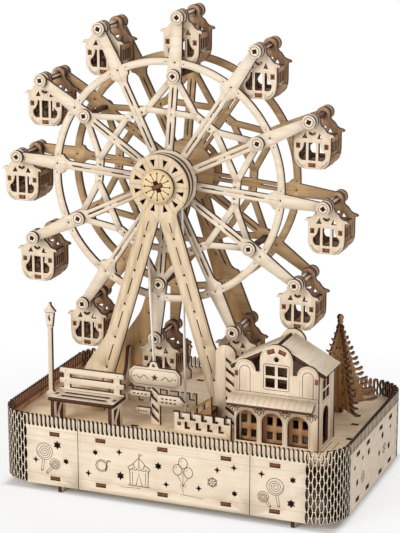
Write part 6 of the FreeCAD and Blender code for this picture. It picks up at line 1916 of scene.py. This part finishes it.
for y in (-54.5, -51.8, -29.2, -26.4):
    sides.line(move([(y, DECK_TOP + 2), (y, EAVE - 2)], MID[1], 0), 0.2, *on_side, slot=FINE)
neck = EAVE + (HOUSE_R - HOUSE_MID - HEAD_HALF) * SLOPE
a, b = HOUSE_MID - HEAD_HALF, HOUSE_MID + HEAD_HALF
rear = smooth([(HOUSE_L, DECK_TOP), (HOUSE_R, DECK_TOP), (HOUSE_R, EAVE), (b, neck),
               (b, RIDGE + 1.6, 9.9), (a, RIDGE + 1.6, 9.9), (a, neck), (HOUSE_L, EAVE)], step=8)
panes = [rect(x + dx, z0, x + dx + 4.5, z1) for x in ARCHES for dx in (-5.2, 0.7)
         for z0, z1 in ((56.5, 62.9), (64.1, 70.5))]
sides.sheet([at_mid(p) for p in [rear] + panes], FRONT, ry)
for x in ARCHES:
    for y, side in ((ry, -1), (HOUSE_B, 1)):
        sides.line(at_mid(rect(x - 6.3, 55.4, x + 6.3, 71.6)), 0.35, FRONT, y, side, True)
sides.make(BASE, ["house_sides"], finishes=PLY_UP)

# %% [markdown]
# Awning and roof are sheets on tilted planes. A plane given by two directions is enough:
# the sheet is drawn in it as if it lay flat, and needs no rotation afterwards. Lines
# engraved down the slope divide both into planks.

# %% Awning and roof
OUT, FALL = 9.0, 5.2
awning = Cut("house_awning_sheet")
long = math.hypot(OUT, FALL)
plane = tilted((1, 0, 0), (0, -OUT, -FALL))
x0, x1 = MID[0] + HOUSE_L - 3.5, MID[0] + HOUSE_R - 2.0
start = (0, HOUSE_F - 0.05, STOREY + 1.0)
awning.sheet([rect(x0, 0, x1, long)], plane, edge=TAB_END, origin=start)
for x in np.linspace(x0, x1, 15)[1:-1]:
    awning.line([(x, 0.4), (x, long - 0.3)], 0.25, plane, 0.0, -1, slot=FINE, origin=start)
awning.make(BASE, ["house_awning"])

ROOF_RUN, ROOF_TOP, ROOF_GAP = 37.5, 129.0, 1.7
roof = Cut("house_roof_sheets")
long = (ROOF_RUN - ROOF_GAP) * math.hypot(1, SLOPE)
y0, y1 = fy + 0.05, ry - 0.05
for sign in (1, -1):
    plane = tilted((0, 1, 0), (sign, 0, -SLOPE))
    start = (MID[0] + HOUSE_MID + sign * ROOF_GAP, 0, ROOF_TOP - ROOF_GAP * SLOPE)
    inward = 1 if plane[2][2] < 0 else -1
    roof.sheet([rect(y0, 0, y1, long)], plane, 0.0 if inward > 0 else -SHEET, origin=start)
    for y in np.linspace(y0, y1, 18)[1:-1]:
        roof.line([(y, 0.8), (y, long - 0.8)], 0.22, plane, 0.0, -inward, slot=FINE, origin=start)
roof.make(BASE, ["house_roof"], finishes=ROOF)

# %% [markdown]
# ## The tree
# Two sheets cross in the middle, both at 45 degrees to the box. Each is slotted to half its
# height, one from below and one from above. Every side has fifteen branches that turn up
# at their tips, and little pierced slots where they leave the trunk.

# %% Half a tree
TREE_TALL, TIERS, SLIT = 128.4 - DECK_TOP, 15, 1.55
TIER_RISE = (TREE_TALL - 13) / TIERS
TREE_AT = (MID[0] + 97.5, MID[1] + 36.0, DECK_TOP)


def tree_reach(k):
    """How far branch k goes from the trunk: the sides of the tree are slightly hollow."""
    return 34.0 * (1 - k / (TIERS + 0.6)) ** 1.08


def tree_side():
    """The right half from the ground up: for each branch, out along its underside, up
    round the tip, and back in above it."""
    side = [(3.6, 0.0), (3.6, 4.0), (2.8, 5.0)]
    for k in range(TIERS):
        reach = tree_reach(k) * (1.0 if k % 2 == 0 else 0.94)
        z, root = 5.6 + k * TIER_RISE, reach * 0.68
        side += [(root, z + 0.1), (reach * 0.86, z - 0.5), (reach * 0.97, z + 0.6),
                 (reach, z + 2.3), (reach * 0.93, z + 1.7), (reach * 0.84, z + 1.2),
                 (root * 1.04, z + 1.1), (root * 0.93, z + TIER_RISE * 0.7)]
    return side


def mirrored(points):
    """The same run on the left, from the top down."""
    return [(-x, z) for x, z in reversed(points)]


print("the lowest branch reaches", round(tree_reach(0), 1), "mm, the top one",
      round(tree_reach(TIERS - 1), 1))

# %% The tree's two sheets
branches = tree_side()
finial = [(1.2, TREE_TALL - 7.2), (1.9, TREE_TALL - 6.4)]
finial += [(2.4 * math.cos(math.radians(a)), TREE_TALL - 2.5 + 2.5 * math.sin(math.radians(a)))
           for a in (-50, -15, 20, 55, 86)]
whole = branches + finial
middle, last = TREE_TALL / 2, branches[-1][1] + 1
from_below = [(SLIT, 0)] + whole + mirrored(whole) + [(-SLIT, 0), (-SLIT, middle), (SLIT, middle)]
from_above = branches + [(SLIT, last), (SLIT, middle), (-SLIT, middle), (-SLIT, last)]
from_above += mirrored(branches)
pierced = [capsule(s * max(tree_reach(k) * (0.42 if k % 2 else 0.3), 3.2), 8.6 + k * TIER_RISE,
                   2.6, 0.9, 90 - s * 40) for k in range(11) for s in (1, -1)]
tree_cut = Cut("tree_sheets")
for shape, way in ((from_below, (1, 1, 0)), (from_above, (1, -1, 0))):
    tree_cut.sheet([shape] + pierced, tilted(way, (0, 0, 1)), -SHEET / 2, origin=TREE_AT)
tree_cut.make(BASE, ["tree"], finishes=SHADED)

# %% [markdown]
# ## Pieces and faces
# The pieces made here are counted, with their faces.

# %% Pieces and faces
print("pieces", len(MADE), "faces", sum(count for name, count in MADE))
